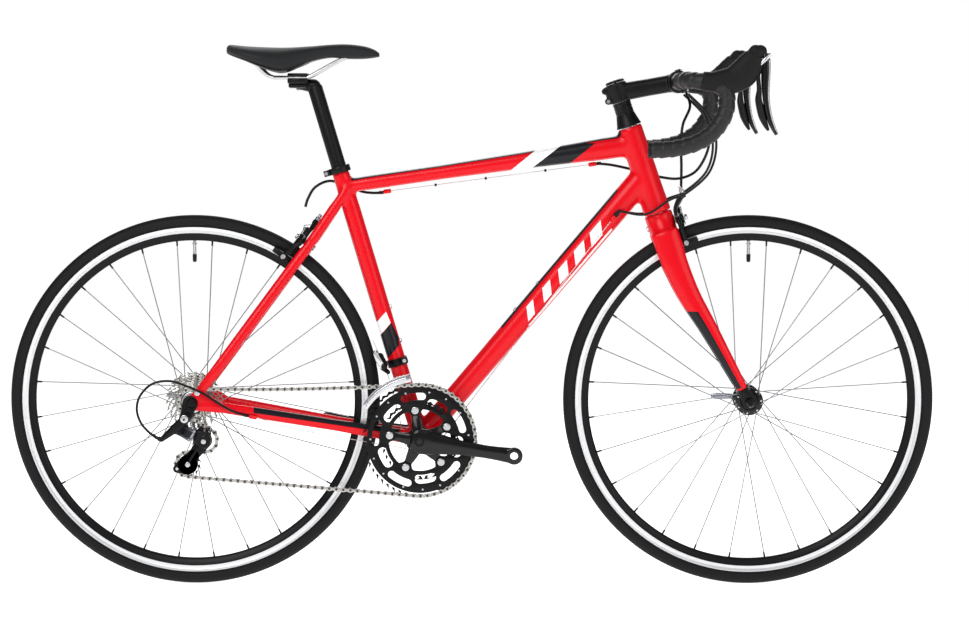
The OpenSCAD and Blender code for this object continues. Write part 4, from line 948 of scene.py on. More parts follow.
blade_path, blade_sizes = spread([(q[0], hy, q[1]) for q in blade_line], [q[2:] for q in blade_line], 5)
blade_skin = tube(blade_path, blade_sizes, 28, X, 2.6)
front_edge = tube(*spread([(x + a - 2.2, hy, z) for x, z, a, b in blade_line[1:]],
                          [(2.6, b * 0.93) for x, z, a, b in blade_line[1:]], 5), 20, X, 2.6)
paddle = tube(*spread(
    [(500.6, hy - 1, 928), (501.2, hy - 1, 912), (502.6, hy - 1, 896), (501.8, hy + 2, 880),
     (504.6, hy + 3, 866),
     (508.4, hy + 3, 850), (514, hy + 2, 836), (519.4, hy, 825)],
    [(3.6, 4), (3.8, 5), (4.2, 6.6), (6, 9), (6.8, 10), (6.6, 8.6), (4.8, 6), (2, 3)], 5), 24, X, 2.6)
for side, name in ((-1, "right"), (1, "left")):
    forged(f"{name}_hood", mirrored(hood_skins, side), 1.25, "steering", hood_black,
           ("lever_hoods",), relax=7)
    piece(f"{name}_brake_blade", mirrored([blade_skin], side), f"{name}_brake_lever", gloss_black,
          (f"{name}_brake_lever",), smooth=1)
    piece(f"{name}_blade_edge", mirrored([front_edge], side), f"{name}_brake_lever", bright_alloy,
          smooth=1)
    piece(f"{name}_lever_pin", mirrored([bar((508, hy - 11.4, 948), (508, hy + 11.4, 948), 3.1)], side),
          f"{name}_brake_lever", steel, (f"{name}_brake_lever",))
    piece(f"{name}_lever_face", mirrored([tube(*spread([(503.6, hy, 939.6), (513, hy, 949),
        (522.4, hy, 958.6)],
                                                      [(3.4, 11.6), (4.4, 12.6), (3.6, 10.4)], 5), 32,
                                                      Vector((0.7, 0, -0.7)), 3.4)], side),
          f"{name}_brake_lever", bright_alloy, (f"{name}_brake_lever",))
    piece(f"{name}_shift_paddle", mirrored([paddle], side), f"{name}_shift_lever", plastic_black,
          (f"{name}_shift_lever",), smooth=1)
print("levers and hoods made")

# %% [markdown]
# ## Wheels
# Both wheels are made by the same functions. The rim is turned from its real section, with a bright
# machined track for the brake pads and a thin wear groove in it. The tyre's section has a smooth crown with
# fine grooves.

# %% Rim, tyre and valve
rim_r, rim_in = 317.0, 289.7


def ring_of(half_section, at, steps=220):
    """Ring with a section that is the same on both sides: (radius, side) from inside out, on the left
    side."""
    section = half_section + [(r, -y) for r, y in half_section[::-1] if y > 1e-6]
    return turned(section, at, Y, steps, closed=True)


rim_section = [(rim_in, 0), (rim_in, 3.2), (rim_in + 1.2, 4.8), (rim_in + 4, 6.5), (rim_in + 9, 8.7),
               (rim_in + 13, 9.6), (rim_in + 13.4, 9.3), (rim_in + 24.6, 9.7), (rim_in + 24.8, 10.1),
               (rim_r, 10.2), (rim_r, 8.7), (rim_r - 5.8, 8.3), (rim_r - 7, 0)]
track_section = [(rim_in + 13.3, 9.2), (rim_in + 13.6, 9.95), (rim_in + 17.9, 10.1), (rim_in + 18.3, 9.8),
                 (rim_in + 18.7, 9.8), (rim_in + 19.1, 10.1), (rim_in + 24.2, 10.3), (rim_in + 24.6, 9.4)]
tyre_mid, tyre_half = wheel_r - 12.5, 12.45
tyre_section = [(rim_r - 5, 7.6), (rim_r - 0.5, 8.4), (rim_r + 0.3, 10.2), (rim_r + 1.2, 10.6),
                (rim_r + 1.7, 10.9)]
for k in range(1, 31):
    w = math.radians(-28 + 118 * k / 30)
    dip = 0.35 if k in (19, 22, 25) else 0
    tyre_section.append((tyre_mid + (tyre_half - dip) * math.sin(w), (tyre_half - dip) * math.cos(w)))
tyre_section[-1] = (tyre_mid + tyre_half, 0)
tyre_section = [(rim_r - 5, 0)] + tyre_section
valve = [bar((0, 0, 252), (0, 0, rim_in), 3, 20), turned([(2.9, 0), (4.6, 0), (4.6, 2), (2.9, 2)],
    (0, 0, 283), Z, 6)]
valve += [turned([(2.9, h), (3.15, h + 0.5), (2.9, h + 1)], (0, 0, 0), Z, 20) for h in range(270, 282)]
cap = [turned([(2, 0), (3.4, 1), (3.6, 3), (3.9, 14), (3.2, 14.5)], (0, 0, 250.5), Z, 20)]


def shifted(skins, by):
    return [([v + Vector(by) for v in verts], faces) for verts, faces in skins]


# %% Spokes, nipples and hubs
def laced(c, y_left, y_right, flange_r, lead):
    """Paths of a wheel's spokes from the elbow in the flange to the nipple, with the places of their
    heads."""
    paths, heads, nipples = [], [], []
    for i in range(28):
        left, trail = i % 2 == 0, 1 if i // 2 % 2 == 0 else -1
        w = math.radians((i + 0.5) * 360 / 28 + 90)
        u = w + trail * math.radians(lead)
        flange_y = y_left if left else y_right
        ray_u, ray_w = Vector((math.cos(u), 0, math.sin(u))), Vector((math.cos(w), 0, math.sin(w)))
        a = c + flange_r * ray_u + (flange_y + trail * 1.9) * Y
        b = c + rim_in * ray_w + ((1.7 if left else -1.7) + trail * 0.5) * Y
        d = (b - a).normalized()
        hole = c + flange_r * ray_u + (flange_y - trail * 2.2) * Y
        paths.append([hole, c + flange_r * ray_u + (flange_y + trail * 1.2) * Y, a + 1.2 * d, a + 12 * d,
                      b - 6 * d])
        heads.append((hole, -trail * Y, ray_u))
        nipples.append((b + 1.0 * d, -d, Y))
    return paths, heads, nipples


def hub_shell(c, y_left, y_right, low, high, shoulder):
    """Turned hub body with two flanges."""
    prof = [(11, low), (12.6, low), (13.4, low + 1), (13.6, y_right - 6), (17, y_right - 2),
            (22, y_right - 1.7),
            (25.2, y_right - 1.5), (25.5, y_right), (25.2, y_right + 1.5), (19, y_right + 1.8),
            (16, y_right + 4),
            (shoulder, y_right + 10), (shoulder, y_left - 10), (16, y_left - 4), (19, y_left - 1.8),
            (25.2, y_left - 1.5), (25.5, y_left), (25.2, y_left + 1.5), (22, y_left + 1.7), (17, y_left + 2),
            (13.6, y_left + 6), (13.4, high - 1), (12.6, high), (11, high)]
    return turned(prof, c, Y, 64, closed=True)


spoke_head = turned([(0.9, -0.3), (1.9, 0), (1.7, 0.8), (0.8, 1.1)], (0, 0, 0), Z, 12)
nipple = turned([(2.1, -1), (2.3, 0), (2.1, 1), (1.7, 2), (1.65, 9), (1.2, 9.6)], (0, 0, 0), Z, 10)
wheels = [("rear", rear, 36, -17, 22, 70, -21, 58.5, 11.4, 5), ("front", front, 35, -35, 21.5, 48, -43.5,
    43.5, 9.6, 4.5)]
for end, c, y_left, y_right, flange_r, lead, low, high, shoulder, axle_r in wheels:
    body = f"{end}_wheel"
    piece(f"{end}_rim", [ring_of(rim_section, c)], body, satin_black, (f"{end}_rim",))
    piece(f"{end}_brake_tracks", both([turned(track_section, c, Y, 220, closed=True)]), body, track_alloy,
          (f"{end}_rim",))
    piece(f"{end}_tyre", [ring_of(tyre_section, c)], body, tyre_black, (f"{end}_tyre",),
          angle=60)
    piece(f"{end}_valve", shifted(valve, c), body, steel, (f"{end}_tyre",))
    piece(f"{end}_valve_cap", shifted(cap, c), body, plastic_black, (f"{end}_tyre",))
    paths, heads, nipples = laced(c, y_left, y_right, flange_r, lead)
    wires(f"{end}_spokes", paths, 1.0, body, spoke_steel, (f"{end}_spokes",), 8)
    copies(f"{end}_spoke_heads", [spoke_head], heads, body, steel, (f"{end}_spokes",))
    copies(f"{end}_nipples", [nipple], nipples, body, satin_black, (f"{end}_spokes",))
    piece(f"{end}_hub_shell", [hub_shell(c, y_left, y_right, low, high, shoulder)], body, gloss_black,
                  (f"{end}_hub",))
    bearings = [turned([(axle_r + 0.1, s), (10.9, s), (10.9, s + 7), (axle_r + 0.1, s + 7)], c, Y, 48,
                       closed=True)
                for s in (low + 0.5, high - 7.5)]
    piece(f"{end}_hub_bearings", bearings, body, zinc, (f"{end}_hub",))
print("wheels made,", 28, "spokes each")

# %% [markdown]
# ## Axles and quick-release levers
# Each axle has a cone and a locknut on both sides, a knurled nut on the right and a cam lever on the left.

# %% Axles and levers
def knurled(at, axis, r, low, high, teeth=36):
    """Turned ring whose outside is cut with fine teeth."""
    verts, faces = turned([(r * 0.4, low), (r - 0.8, low), (r, low + 0.8), (r, high - 0.8), (r - 0.8, high),
                           (r * 0.4, high)], at, axis, teeth * 2)
    centre_line = Vector(axis).normalized()
    out = []
    for i, v in enumerate(verts):
        ray = v - Vector(at)
        along = ray.dot(centre_line) * centre_line
        out.append(Vector(at) + along + (ray - along) * (0.965 if i // 6 % 2 else 1.0))
    return out, faces


for end, c, half_width, axle_r, body in (("rear", rear, 65, 5, "frame"),
                                         ("front", front, 50, 4.5, "steering")):
    skins = [bar(c - (half_width + 5) * Y, c + (half_width + 5) * Y, axle_r, 32)]
    for s in (-1, 1):
        inner = 2.4 if end == "rear" and s < 0 else 5.9
        skins.append(turned([(axle_r, 0), (8, 0), (8, inner * 0.4), (7.6, inner * 0.5), (7.6, inner),
                             (axle_r, inner)],
                            c + s * (half_width - 0.1) * Y, -s * Y, 40))
    piece(f"{end}_axle_core", skins, body, steel, (f"{end}_axle",))
    nut = knurled(c, -Y, 8.6, half_width + 6.1, half_width + 10, 30)
    cone = turned([(3, 0), (7.8, 0), (7.4, 3.4), (6.2, 6.4), (3.4, 6.8), (2.6, 5.6)],
                  c - (half_width + 9.9) * Y, -Y, 40)
    piece(f"{end}_skewer_nut", [nut, cone], body, satin_black, (f"{end}_axle",))
    seat_ring = knurled(c, Y, 9, half_width + 6.1, half_width + 10.9, 30)
    piece(f"{end}_skewer_seat", [seat_ring], body, steel, (f"{end}_axle",))
    lever_at = c + (half_width + 11.4) * Y
    hub_balls = limb((*(lever_at + Vector((0, 8.6, -3))), 7.4), (*(lever_at + Vector((0, 8.6, 3))), 7.4))
    arm = tube(*spread([lever_at + Vector(q) for q in ((-4, 9, 0), (-16, 9.6, 0), (-34, 11.5, 0),
        (-52, 14.5, 0), (-62, 16, 0))],
                       [(6, 4.2), (4.8, 3.4), (5.4, 3), (6.4, 2.8), (3.4, 1.8)], 5), 24, Z, 2.4)
    lever = forged(f"{end}_skewer_lever_arm", hub_balls + [arm], 0.9, f"{end}_skewer_lever", dark_alloy,
                   (f"{end}_skewer_lever",), relax=4)
    bore(lever, lever_at + Vector((0, 9, -20)), lever_at + Vector((0, 9, 20)), 2.55)
    piece(f"{end}_lever_pin", [bar(lever_at + Vector((0, 9, -7)), lever_at + Vector((0, 9, 7)), 2.4, 24)],
          body, steel, (f"{end}_axle",))

# %% [markdown]
# ## Cranks and chainrings
# The chainrings are cut from sheet with their real tooth counts and windows. The arms are forgings that
# thicken at both ends, with a deep shoulder where the spider meets the right arm.

# %% Chainrings with their windows
bolt_angles = [26.5 + 72 * k for k in range(5)]


def polar(at, r, degrees, y=0.0):
    w = math.radians(degrees)
    return at + Vector((r * math.cos(w), y, r * math.sin(w)))




def scalloped(at, tab, gap, steps=120):
    """The inner edge of a ring: radius gap, but only tab where the bolts need metal."""
    out = []
    for k in range(steps):
        angle = 360 * k / steps
        away = min(abs((angle - w + 180) % 360 - 180) for w in bolt_angles)
        share = min(max((away - 8) / 7, 0), 1)
        r = tab + (gap - tab) * share * share * (3 - 2 * share)
        out.append((at[0] + r * math.cos(math.radians(angle)), at[2] + r * math.sin(math.radians(angle))))
    return out


outer_holes = [scalloped(bottom, 46.2, 57)]
inner_holes = [scalloped(bottom, 47.2, 56)]
for w in bolt_angles:
    outer_holes += [disc_outline(polar(bottom, 55, w), 5.05, 24), arc_window(bottom, 80, 13, w - 12, w + 12),
                    arc_window(bottom, 70, 17, w + 27, w + 45)]
    inner_holes.append(disc_outline(polar(bottom, 55, w), 5.05, 24))
teeth_ring = cut_plate([tooth_outline(bottom, 50), disc_outline(bottom, 90, 96)], -47.95, -46.05, 0.35)
web = cut_plate([disc_outline(bottom, 95.4, 128)] + outer_holes, -48.3, -45, 0.5)
piece("outer_chainring", [web, teeth_ring], "crank", satin_black, ("outer_chainring",))
small_web = cut_plate([disc_outline(bottom, 63.4, 96)] + inner_holes, -42, -39, 0.4)
small_teeth = cut_plate([tooth_outline(bottom, 34), disc_outline(bottom, 60, 96)], -40.9, -39.1, 0.3)
piece("inner_chainring", [small_web, small_teeth], "crank", satin_black, ("inner_chainring",))
bolt_heads = [turned([(2.9, 0), (6.4, 0), (6.6, 0.4), (6.4, 1.8), (5.6, 2.2), (4.1, 2.1), (3.4, 0.9)],
                     (0, 0, 48.4), Z, 32),
              turned([(2.9, 0.6), (4.9, 0.6), (4.9, -11), (6.4, -11.2), (6.4, -12.8), (2.9, -12.8)],
                     (0, 0, 49.5), Z, 24)]
copies("chainring_bolts", bolt_heads, [(polar(bottom, 55, w), -Y, X) for w in bolt_angles], "crank", steel,
       ("chainring_bolts",))
copies("chainring_bolt_bores", [bar((0, 0, 47.6), (0, 0, 49.7), 3.6)],
       [(polar(bottom, 55, w), -Y, X) for w in bolt_angles],
       "crank", satin_black)
pins = [(polar(bottom, 89, w + k, -48.2), -Y, X) for w in bolt_angles for k in (-20, 8, 31)]
copies("shift_pins", [turned([(1.9, -1), (2, 0), (1.7, 0.5), (0.8, 0.6)], (0, 0, 0), Z, 16)], pins, "crank",
       steel, ("outer_chainring",))

# %% Crank arms, spider and spindle
crank_angle = math.radians(-8.7)


def on_arm(r, y, side=-1, rise=0.0):
    """A place r along a crank arm; the left arm (side 1) points the other way."""
    w = crank_angle + (math.pi if side > 0 else 0)
    return bottom + Vector((r * math.cos(w) - rise * math.sin(w), y, r * math.sin(w) + rise * math.cos(w)))


def arm_skin(side, stations):
    path, sizes = spread([on_arm(q[0], side * q[1], side) for q in stations], [q[2:] for q in stations], 4)
    across_arm = on_arm(0, 0, side, 1) - bottom
    return tube(path, sizes, 32, across_arm, 2.7)


right_arm = arm_skin(-1, [(-15, 58.5, 16, 5.5), (-6, 58, 23, 8), (14, 58.8, 23, 8), (36, 60.5, 19, 7.4),
                          (74, 63.6, 13.6, 6.4), (120, 65.6, 12, 6.4), (150, 66, 13.2, 6.7)])
left_arm = arm_skin(1, [(-14, 54.5, 13, 7), (-7, 54.2, 18, 9.6), (12, 54.8, 18.2, 9.6), (32, 57.2, 14.6, 7.8),
                        (70, 61.5, 12.9, 6.4), (120, 65, 12, 6.4), (150, 66, 13.2, 6.7)])
for side, name, skin in ((-1, "right", right_arm), (1, "left", left_arm)):
    eye = on_arm(172.5, side * 66, side)
    boss = turned([(3, -6.4), (14.6, -6.4), (15.7, -5), (15.7, 5), (14.6, 6.6), (3, 6.6)], eye, side * Y, 56)
    neck = capsule((*on_arm(148, side * 66, side), 6.5), (*on_arm(168, side * 66, side), 6.5))
    wide = tube([on_arm(146, side * 66, side), on_arm(160, side * 66, side), on_arm(172, side * 66, side)],
                [(13, 6.3), (14, 6.3), (15.2, 6.3)], 32, on_arm(0, 0, side, 1) - bottom, 2.7)
    skins = [skin, boss, neck, wide]
    if side > 0:
        skins.append(turned([(3, -9), (19, -9), (19.5, -7), (19.5, 8), (18, 9.5), (3, 9.5)],
                            bottom + 54.4 * Y, Y, 56))
    arm = forged(f"{name}_crank_arm", skins, 1.35, "crank", gloss_black, (f"crank_{name}",),
                 relax=6,
                 soft=[(on_arm(26, side * 60, side), 20)])
    bore(arm, eye - 14 * Y, eye + 14 * Y, 7.14)
    if side > 0:
        bore(arm, bottom + 35 * Y, bottom + 64.2 * Y, 12.1)
    else:
        bore(arm, bottom - 52.1 * Y, bottom - 30 * Y, 19.1)
    threads = []
    for k in range(5):
        threads += [turned([(7.14, 0), (7.6, 0.7), (7.14, 1.4), (7.9, 1.4), (7.9, 0)],
                           eye + side * (k * 2.6 - 6.4) * Y,
                           side * Y, 40, closed=True)]
    piece(f"{name}_pedal_thread", threads, "crank", bright_alloy, (f"crank_{name}",))
spider = [cut_plate([disc_outline(bottom, 25, 64), disc_outline(bottom, 12.2, 48)], -50, -42.2, 0.6)]
for w in bolt_angles:
    edge = [(-8.5, 18), (-7, 36), (-7.6, 50)] + [
        (8.4 * math.sin(math.radians(t)), 55 + 8.4 * math.cos(math.radians(t))) for t in range(-110, 111, 20)]
    edge += [(7.6, 50), (7, 36), (8.5, 18)]
    ray, side_ray = polar(Vector(), 1, w), polar(Vector(), 1, w - 90)
    outline = [tuple((bottom + p[1] * ray + p[0] * side_ray).xz) for p in edge]
    spider.append(cut_plate([outline, disc_outline(polar(bottom, 55, w), 5.1, 24)], -44.9, -42.1, 0.5))
    ridge = [bottom + r * ray - (52 - r * 0.13) * Y for r in (16, 26, 38, 47)]
    spider.append(tube(ridge, [(5.4, 12), (4.4, 10.5), (2.6, 8.6), (0.9, 6.4)], 20, Y, 2.6))
piece("spider", spider, "crank", gloss_black, ("crank_right",), bevel=0.3)
piece("spindle", [turned([(9, 49.9), (11.9, 49.9), (12, 49), (12, -65.5), (11.5, -66), (9, -66), (9, -40),
                          (4, -39), (4, 45),
                          (9, 46)], bottom, -Y, 48, closed=True)],
      "crank", zinc, ("crank_right",))
cap_at = on_arm(0, -66.2)
piece("crank_cap", [turned([(4, -1.2), (9.6, -1.2), (9.6, 0), (8.9, 0.6), (5.2, 0.7), (4.8, -0.6)], cap_at,
                           -Y, 40)],
      "crank", satin_black, ("crank_right",))
piece("preload_cap", [turned([(3, -1), (11.2, -1), (11.2, 1), (10, 1.8), (5.5, 1.8), (5, 0.4)],
                             bottom + 64.4 * Y, Y, 40)],
      "crank", plastic_black, ("crank_left",))
pinch = [(on_arm(16, 54 + s, 1, 19), on_arm(0, 0, 1, 1) - bottom) for s in (-5, 5)]
bolts("pinch_bolts", pinch, 3.6, 1.6, "crank", steel)
for side, name in ((-1, "right"), (1, "left")):
    at = bottom + side * 34.1 * Y
    cup = [knurled(at, side * Y, 21.3, 0.1, 6.8, 24), turned([(12.2, 6.6), (19.6, 6.6), (19.2, 7.3),
        (12.2, 7.3)], at, side * Y, 56, closed=True)]
    piece(f"{name}_bottom_bracket_cup", cup, "frame", satin_black, ("bottom_bracket_cups",))
print("crankset made")

# %% [markdown]
# ## Cassette
# Ten sprockets, each cut with its own teeth, with spacers and a splined lockring.

# %% Sprockets, spacers and lockring
sprockets = [12, 13, 14, 15, 16, 17, 19, 21, 23, 25]
cogs, gaps = [], []
for i, teeth in enumerate(sprockets):
    y = -60.9 + 3.95 * i
    holes = [disc_outline(rear, 17.1, 48)]
    if teeth >= 19:
        holes += [arc_window(rear, (pitch_radius(teeth) + 13) / 2, 6, 60 * k, 60 * k + 30,
                             6) for k in range(6)]
    cogs.append(cut_plate([tooth_outline(rear, teeth, math.radians(5 * i), 3)] + holes, y - 0.8, y + 0.8,
                          0.25))
    gaps.append(turned([(17, 0), (18.6, 0), (18.6, 2.2), (17, 2.2)], rear + (y + 0.85) * Y, Y, 48,
                       closed=True))
piece("sprockets", cogs, "cassette", nickel, ("cassette",))
piece("sprocket_spacers", gaps[:9], "cassette", satin_black, ("cassette",))
piece("freehub_body", [turned([(5.1, 0), (17, 0), (17, 40.4), (5.1, 40.4)], rear - 62 * Y, Y, 64,
                              closed=True)],
      "cassette", dark_alloy, ("cassette",))
lock = [turned([(9.6, 0), (18, 0), (19, 0.8), (19, 1.8), (17.6, 2.3), (12.4, 2.3), (12, 0.8), (9.6, 0.8)],
               rear - 62.1 * Y, -Y, 64, closed=True)]
lock += [turned([(9.6, 0), (12.2, 0.2), (12.2, 2.1), (9.6, 2.1)], rear - 62.1 * Y, -Y, 12, closed=True)]
piece("cassette_lockring", lock, "cassette", steel, ("cassette",))

# %% [markdown]
# ## Chain
# The chain is a belt round four wheels. We walk along it in steps of one pitch, and set an inner or an outer
# link between each two pins. Each stretch rides the body that it runs on; one between two bodies stays fixed.

# %% The chain's path
belt = [(bottom, pitch_radius(50), -47.0), (tension, pitch_radius(11), -60.9),
        (guide, -pitch_radius(11), -60.9),
        (rear, pitch_radius(12), -60.9)]


def normal_between(a, b):
    dx, dz = b[0].x - a[0].x, b[0].z - a[0].z
    return math.atan2(dz, dx) + math.acos((a[1] - b[1]) / math.hypot(dx, dz))


def arc_of(i):
    """Places round wheel i where the chain touches it, every few degrees."""
    c, r, y = belt[i]
    a, b = normal_between(belt[i - 1], belt[i]), normal_between(belt[i], belt[(i + 1) % 4])
    sweep = -((a - b) % (2 * math.pi)) if r > 0 else (b - a) % (2 * math.pi)
    return [Vector((c.x + r * math.cos(a + sweep * k / 60), y, c.z + r * math.sin(a + sweep * k / 60)))
            for k in range(61)]


def run_of(a, b, sag=0.0):
    out = []
    for k in range(1, 24):
        t = k / 24
        w = min(max((8 * t - 1) / 6, 0), 1)
        out.append(Vector((a.x + t * (b.x - a.x), a.y + w * (b.y - a.y),
                           a.z + t * (b.z - a.z) - 4 * sag * t * (1 - t))))
    return out


arcs = [arc_of(i) for i in range(4)]
names = ["ring", "tension", "guide", "cog"]
stretch = []
for i in range(4):
    stretch += [(names[i], p) for p in arcs[i]]
    a, b = arcs[i][-1], arcs[(i + 1) % 4][0]
    title = ["low", "between", "down", "top"][i]
    stretch += [(title, p) for p in run_of(a, b, 4 if title == "top" else 0)]
total = sum((stretch[i][1] - stretch[i - 1][1]).length for i in range(len(stretch)))
links = round(total / PITCH / 2) * 2
step, walked, pins = total / links, 0.0, []
for i in range(len(stretch)):
    a, b = stretch[i][1], stretch[(i + 1) % len(stretch)][1]
    length = (b - a).length
    while len(pins) < links and len(pins) * step <= walked + length:
        pins.append((stretch[i][0], a + (b - a) * ((len(pins) * step - walked) / length)))
    walked += length
print("chain:", links, "links, stretched by", round((step / PITCH - 1) * 100, 2), "percent to close")


# %% The links
def side_plate(y1, y2, r=4.1, waist=2.2):
    """One side plate as a skin: pins 12.7 mm apart along Z, the plate's width along X, from y1 to y2."""
    outline = []
    for sign in (1, -1):
        for k in range(-7, 8):
            w = math.radians(k * 15)
            outline.append((r * math.sin(w) * sign, sign * (PITCH / 2 + r * math.cos(w))))
        outline.append((sign * waist, 0))
    e = 0.2
    rings = [(y1, 1 - e / r), (y1 + e, 1), (y2 - e, 1), (y2, 1 - e / r)]
    n = len(outline)
    verts = [Vector((x * s, y, z * s)) for y, s in rings for x, z in outline]
    faces = [(j * n + k, j * n + (k + 1) % n, (j + 1) * n + (k + 1) % n, (j + 1) * n + k)
             for j in range(3) for k in range(n)]
    return verts, faces + [tuple(range(n)), tuple(range(4 * n - 1, 3 * n - 1, -1))]


def pin_heads(r=2.2):
    out = []
    for z in (-PITCH / 2, PITCH / 2):
        for s in (-1, 1):
            out.append(turned([(r, 2.7), (r, 2.95), (r * 0.5, 3.0)], (0, 0, z), s * Y, 12))
    return out


outer_link = [side_plate(2.05, 2.75), side_plate(-2.75, -2.05)]
inner_link = [side_plate(1.3, 2.0, 4.1, 2.2), side_plate(-2.0, -1.3, 4.1, 2.2)]
roller = [turned([(1.8, -1.25), (3.7, -1.25), (3.9, -1), (3.9, 1), (3.7, 1.25), (1.8, 1.25)], (0, 0, z), Y,
                 16)
          for z in (-PITCH / 2, PITCH / 2)]
low_a, low_b = arcs[0][-1], arcs[1][0]
low_mid = (low_a + low_b) / 2
groups = {"ring": "frame", "cog": "frame", "guide": "rear_derailleur_knuckle",
          "tension": "rear_derailleur_cage",
          "between": "rear_derailleur_cage",
          "down": ("frame", "rear_derailleur_knuckle", arcs[3][0], arcs[2][-1]),
          "top_rear": ("frame", "front_derailleur_cage", Vector((-480, -60, 362)), Vector((-190, -50, 362))),
          "top_front": ("front_derailleur_cage", "frame", Vector((-140, -48, 365)), Vector((-100, -47, 367))),
          "low_rear": ("rear_derailleur_cage", "rear_derailleur_knuckle", low_b, low_mid),
          "low_front": ("rear_derailleur_knuckle", "frame", low_mid, low_a)}
placed = {}
for i in range(links):
    (where, a), (_, b) = pins[i], pins[(i + 1) % links]
    mid = (a + b) / 2
    if where == "top":
        where = "top_rear" if mid.x < -165 else "top_front"
    if where == "low":
        where = "low_rear" if mid.x < low_mid.x else "low_front"
    along = (b - a).normalized()
    across = (Y - Y.dot(along) * along).normalized()
    placed.setdefault((where, i % 2), []).append((mid, along, across.cross(along)))
for (where, odd), places in placed.items():
    kind = "outer" if odd else "inner"
    skins = outer_link if odd else inner_link
    if not odd and where not in ("ring", "cog", "guide", "tension"):
        skins = skins + roller
    copies(f"chain_{where}_{kind}", skins, places, groups[where], nickel, ("chain",))
    if odd:
        copies(f"chain_{where}_pins", pin_heads(), places, groups[where], pin_steel,
               ("chain",))
print("chain stretches:", sorted({k[0] for k in placed}))

# %% [markdown]
# ## Frame fittings and cables
# Housings are stiff tubes that bow between their stops, and the bare wires between stops are straight. A
# housing that goes from the bars to the frame bends when the bars turn; here it is fixed in place and rides
# neither body.

# %% Bottle bolts, stops and barrel adjusters
bottle = [(bottom + s * down_dir + 20.2 * down_up, down_up) for s in (290, 354)]
bottle += [(bottom + s * seat_up + 16 * seat_ahead, seat_ahead) for s in (181, 245)]
bolts("bottle_bolts", bottle, 4.4, 3, "frame", steel)
top_stop_front, top_stop_rear = Vector((226, 9, 764.6)), Vector((-146, 9, 715.5))
stay_stop, stop_back = Vector((-386, -64.5, 309)), Vector((-14, 0, -2))


def boss(p, back):
    """A cable stop: a small capsule of painted metal with an open end for the ferrule."""
    d = back.normalized()
    return turned([(1.2, 3), (1.2, 0), (3.2, 0), (4, 0.9), (4, back.length - 2), (2.6, back.length),
                   (1.2, back.length)],
                  p, d, 24, closed=True)


stops = [boss(top_stop_front, stop_back), boss(top_stop_rear, stop_back),
         boss(stay_stop, Vector((-14, 0, 2.4)))]


def barrel_at(side):
    return bottom + 545 * down_dir - 6 * down_up + side * 25.5 * Y


adjusters, sleeves = [], []
for side in (-1, 1):
    at = barrel_at(side)
    stops.append(turned([(1.2, 9), (4.2, 9), (4.5, 10), (4.5, 20), (3.4, 22), (1.2, 22)], at, -down_dir, 24,
                        closed=True))
    stops += [capsule((*(at - 12 * down_dir), 3.6), (*(at - 12 * down_dir - side * 4 * Y), 3.6))]
    adjusters.append(knurled(at, -down_dir, 4.5, 2, 8.6, 14))
    sleeves.append(turned([(1.2, -6), (2.9, -6), (3.1, -5.4), (3.1, 2), (1.2, 2)], at, -down_dir, 24,
                          closed=True))
piece("cable_stops", stops, "frame", plain_red, ("frame_fittings",))
piece("barrel_adjusters", adjusters + sleeves, "frame", plastic_black)

# %% Housings
bar_to_rear_brake = [(388, -62, 890), (420, -50, 850), (428, -30, 800), (410, 0, 755), (380, 26, 738),
                     (344, 36, 740),
                     (300, 37, 752), (255, 24, 762), (227, 9, 764.7)]
bend_start, bend_end = Vector((395, -60, 882)), Vector((300, 37, 752))
wires("rear_brake_housing", [flow(bar_to_rear_brake, 8)], 2.5, ("steering", "frame", bend_start, bend_end),
      housing_black, ("cables",), 16)
for side, name in ((-1, "rear"), (1, "front")):
    run = [Vector((x, side * y, z)) for x, y, z in ((388, 70, 890), (426, 60, 850), (440, 46, 800),
        (428, 40, 750),
                                                  (388, 38, 713), (357, 37, 700), (314, 34, 674))]
    run.append(barrel_at(side) + 4 * down_dir)
    wires(f"{name}_shift_housing", [flow(run, 8)], 2.2, ("steering", "frame", Vector((395, side * 68, 882)),
                                                       Vector((330, side * 35, 684))), housing_black,
          sides=16)
front_cable_end = on_steer(400, 54, 15)
down_to_brake = [(392, 64, 894), (398, 45, 868), (384, 22, 836), (380, 15, 800), (381, 14, 760),
                 front_cable_end]
wires("front_brake_housing", [flow(down_to_brake, 8)], 2.5, "steering", housing_black,
      sides=16)
tail_run = [(-160, 9, 712.5), (-178, 13, 711.5), (-200, 22, 714), (-226, 27, 724), (-258, 27, 733),
            (-284, 22, 722),
            (-297, 18, 702), (-302, 15, 686)]
loop_run = [(-401, -65, 312), (-424, -71, 319), (-446, -76, 331), (-480, -79, 353), (-508, -79, 366),
            (-540, -79, 376),
            (-572, -78, 371), (-594, -77, 350), (-600.7, -76, 325), (-594, -75, 301), (-580, -74, 284),
            (-567, -73, 274)]
wires("rear_brake_housing_tail", [flow(tail_run, 8)], 2.5, "frame", housing_black, sides=16)
wires("rear_shift_loop", [flow(loop_run, 8)], 2.2, "frame", housing_black, sides=16)

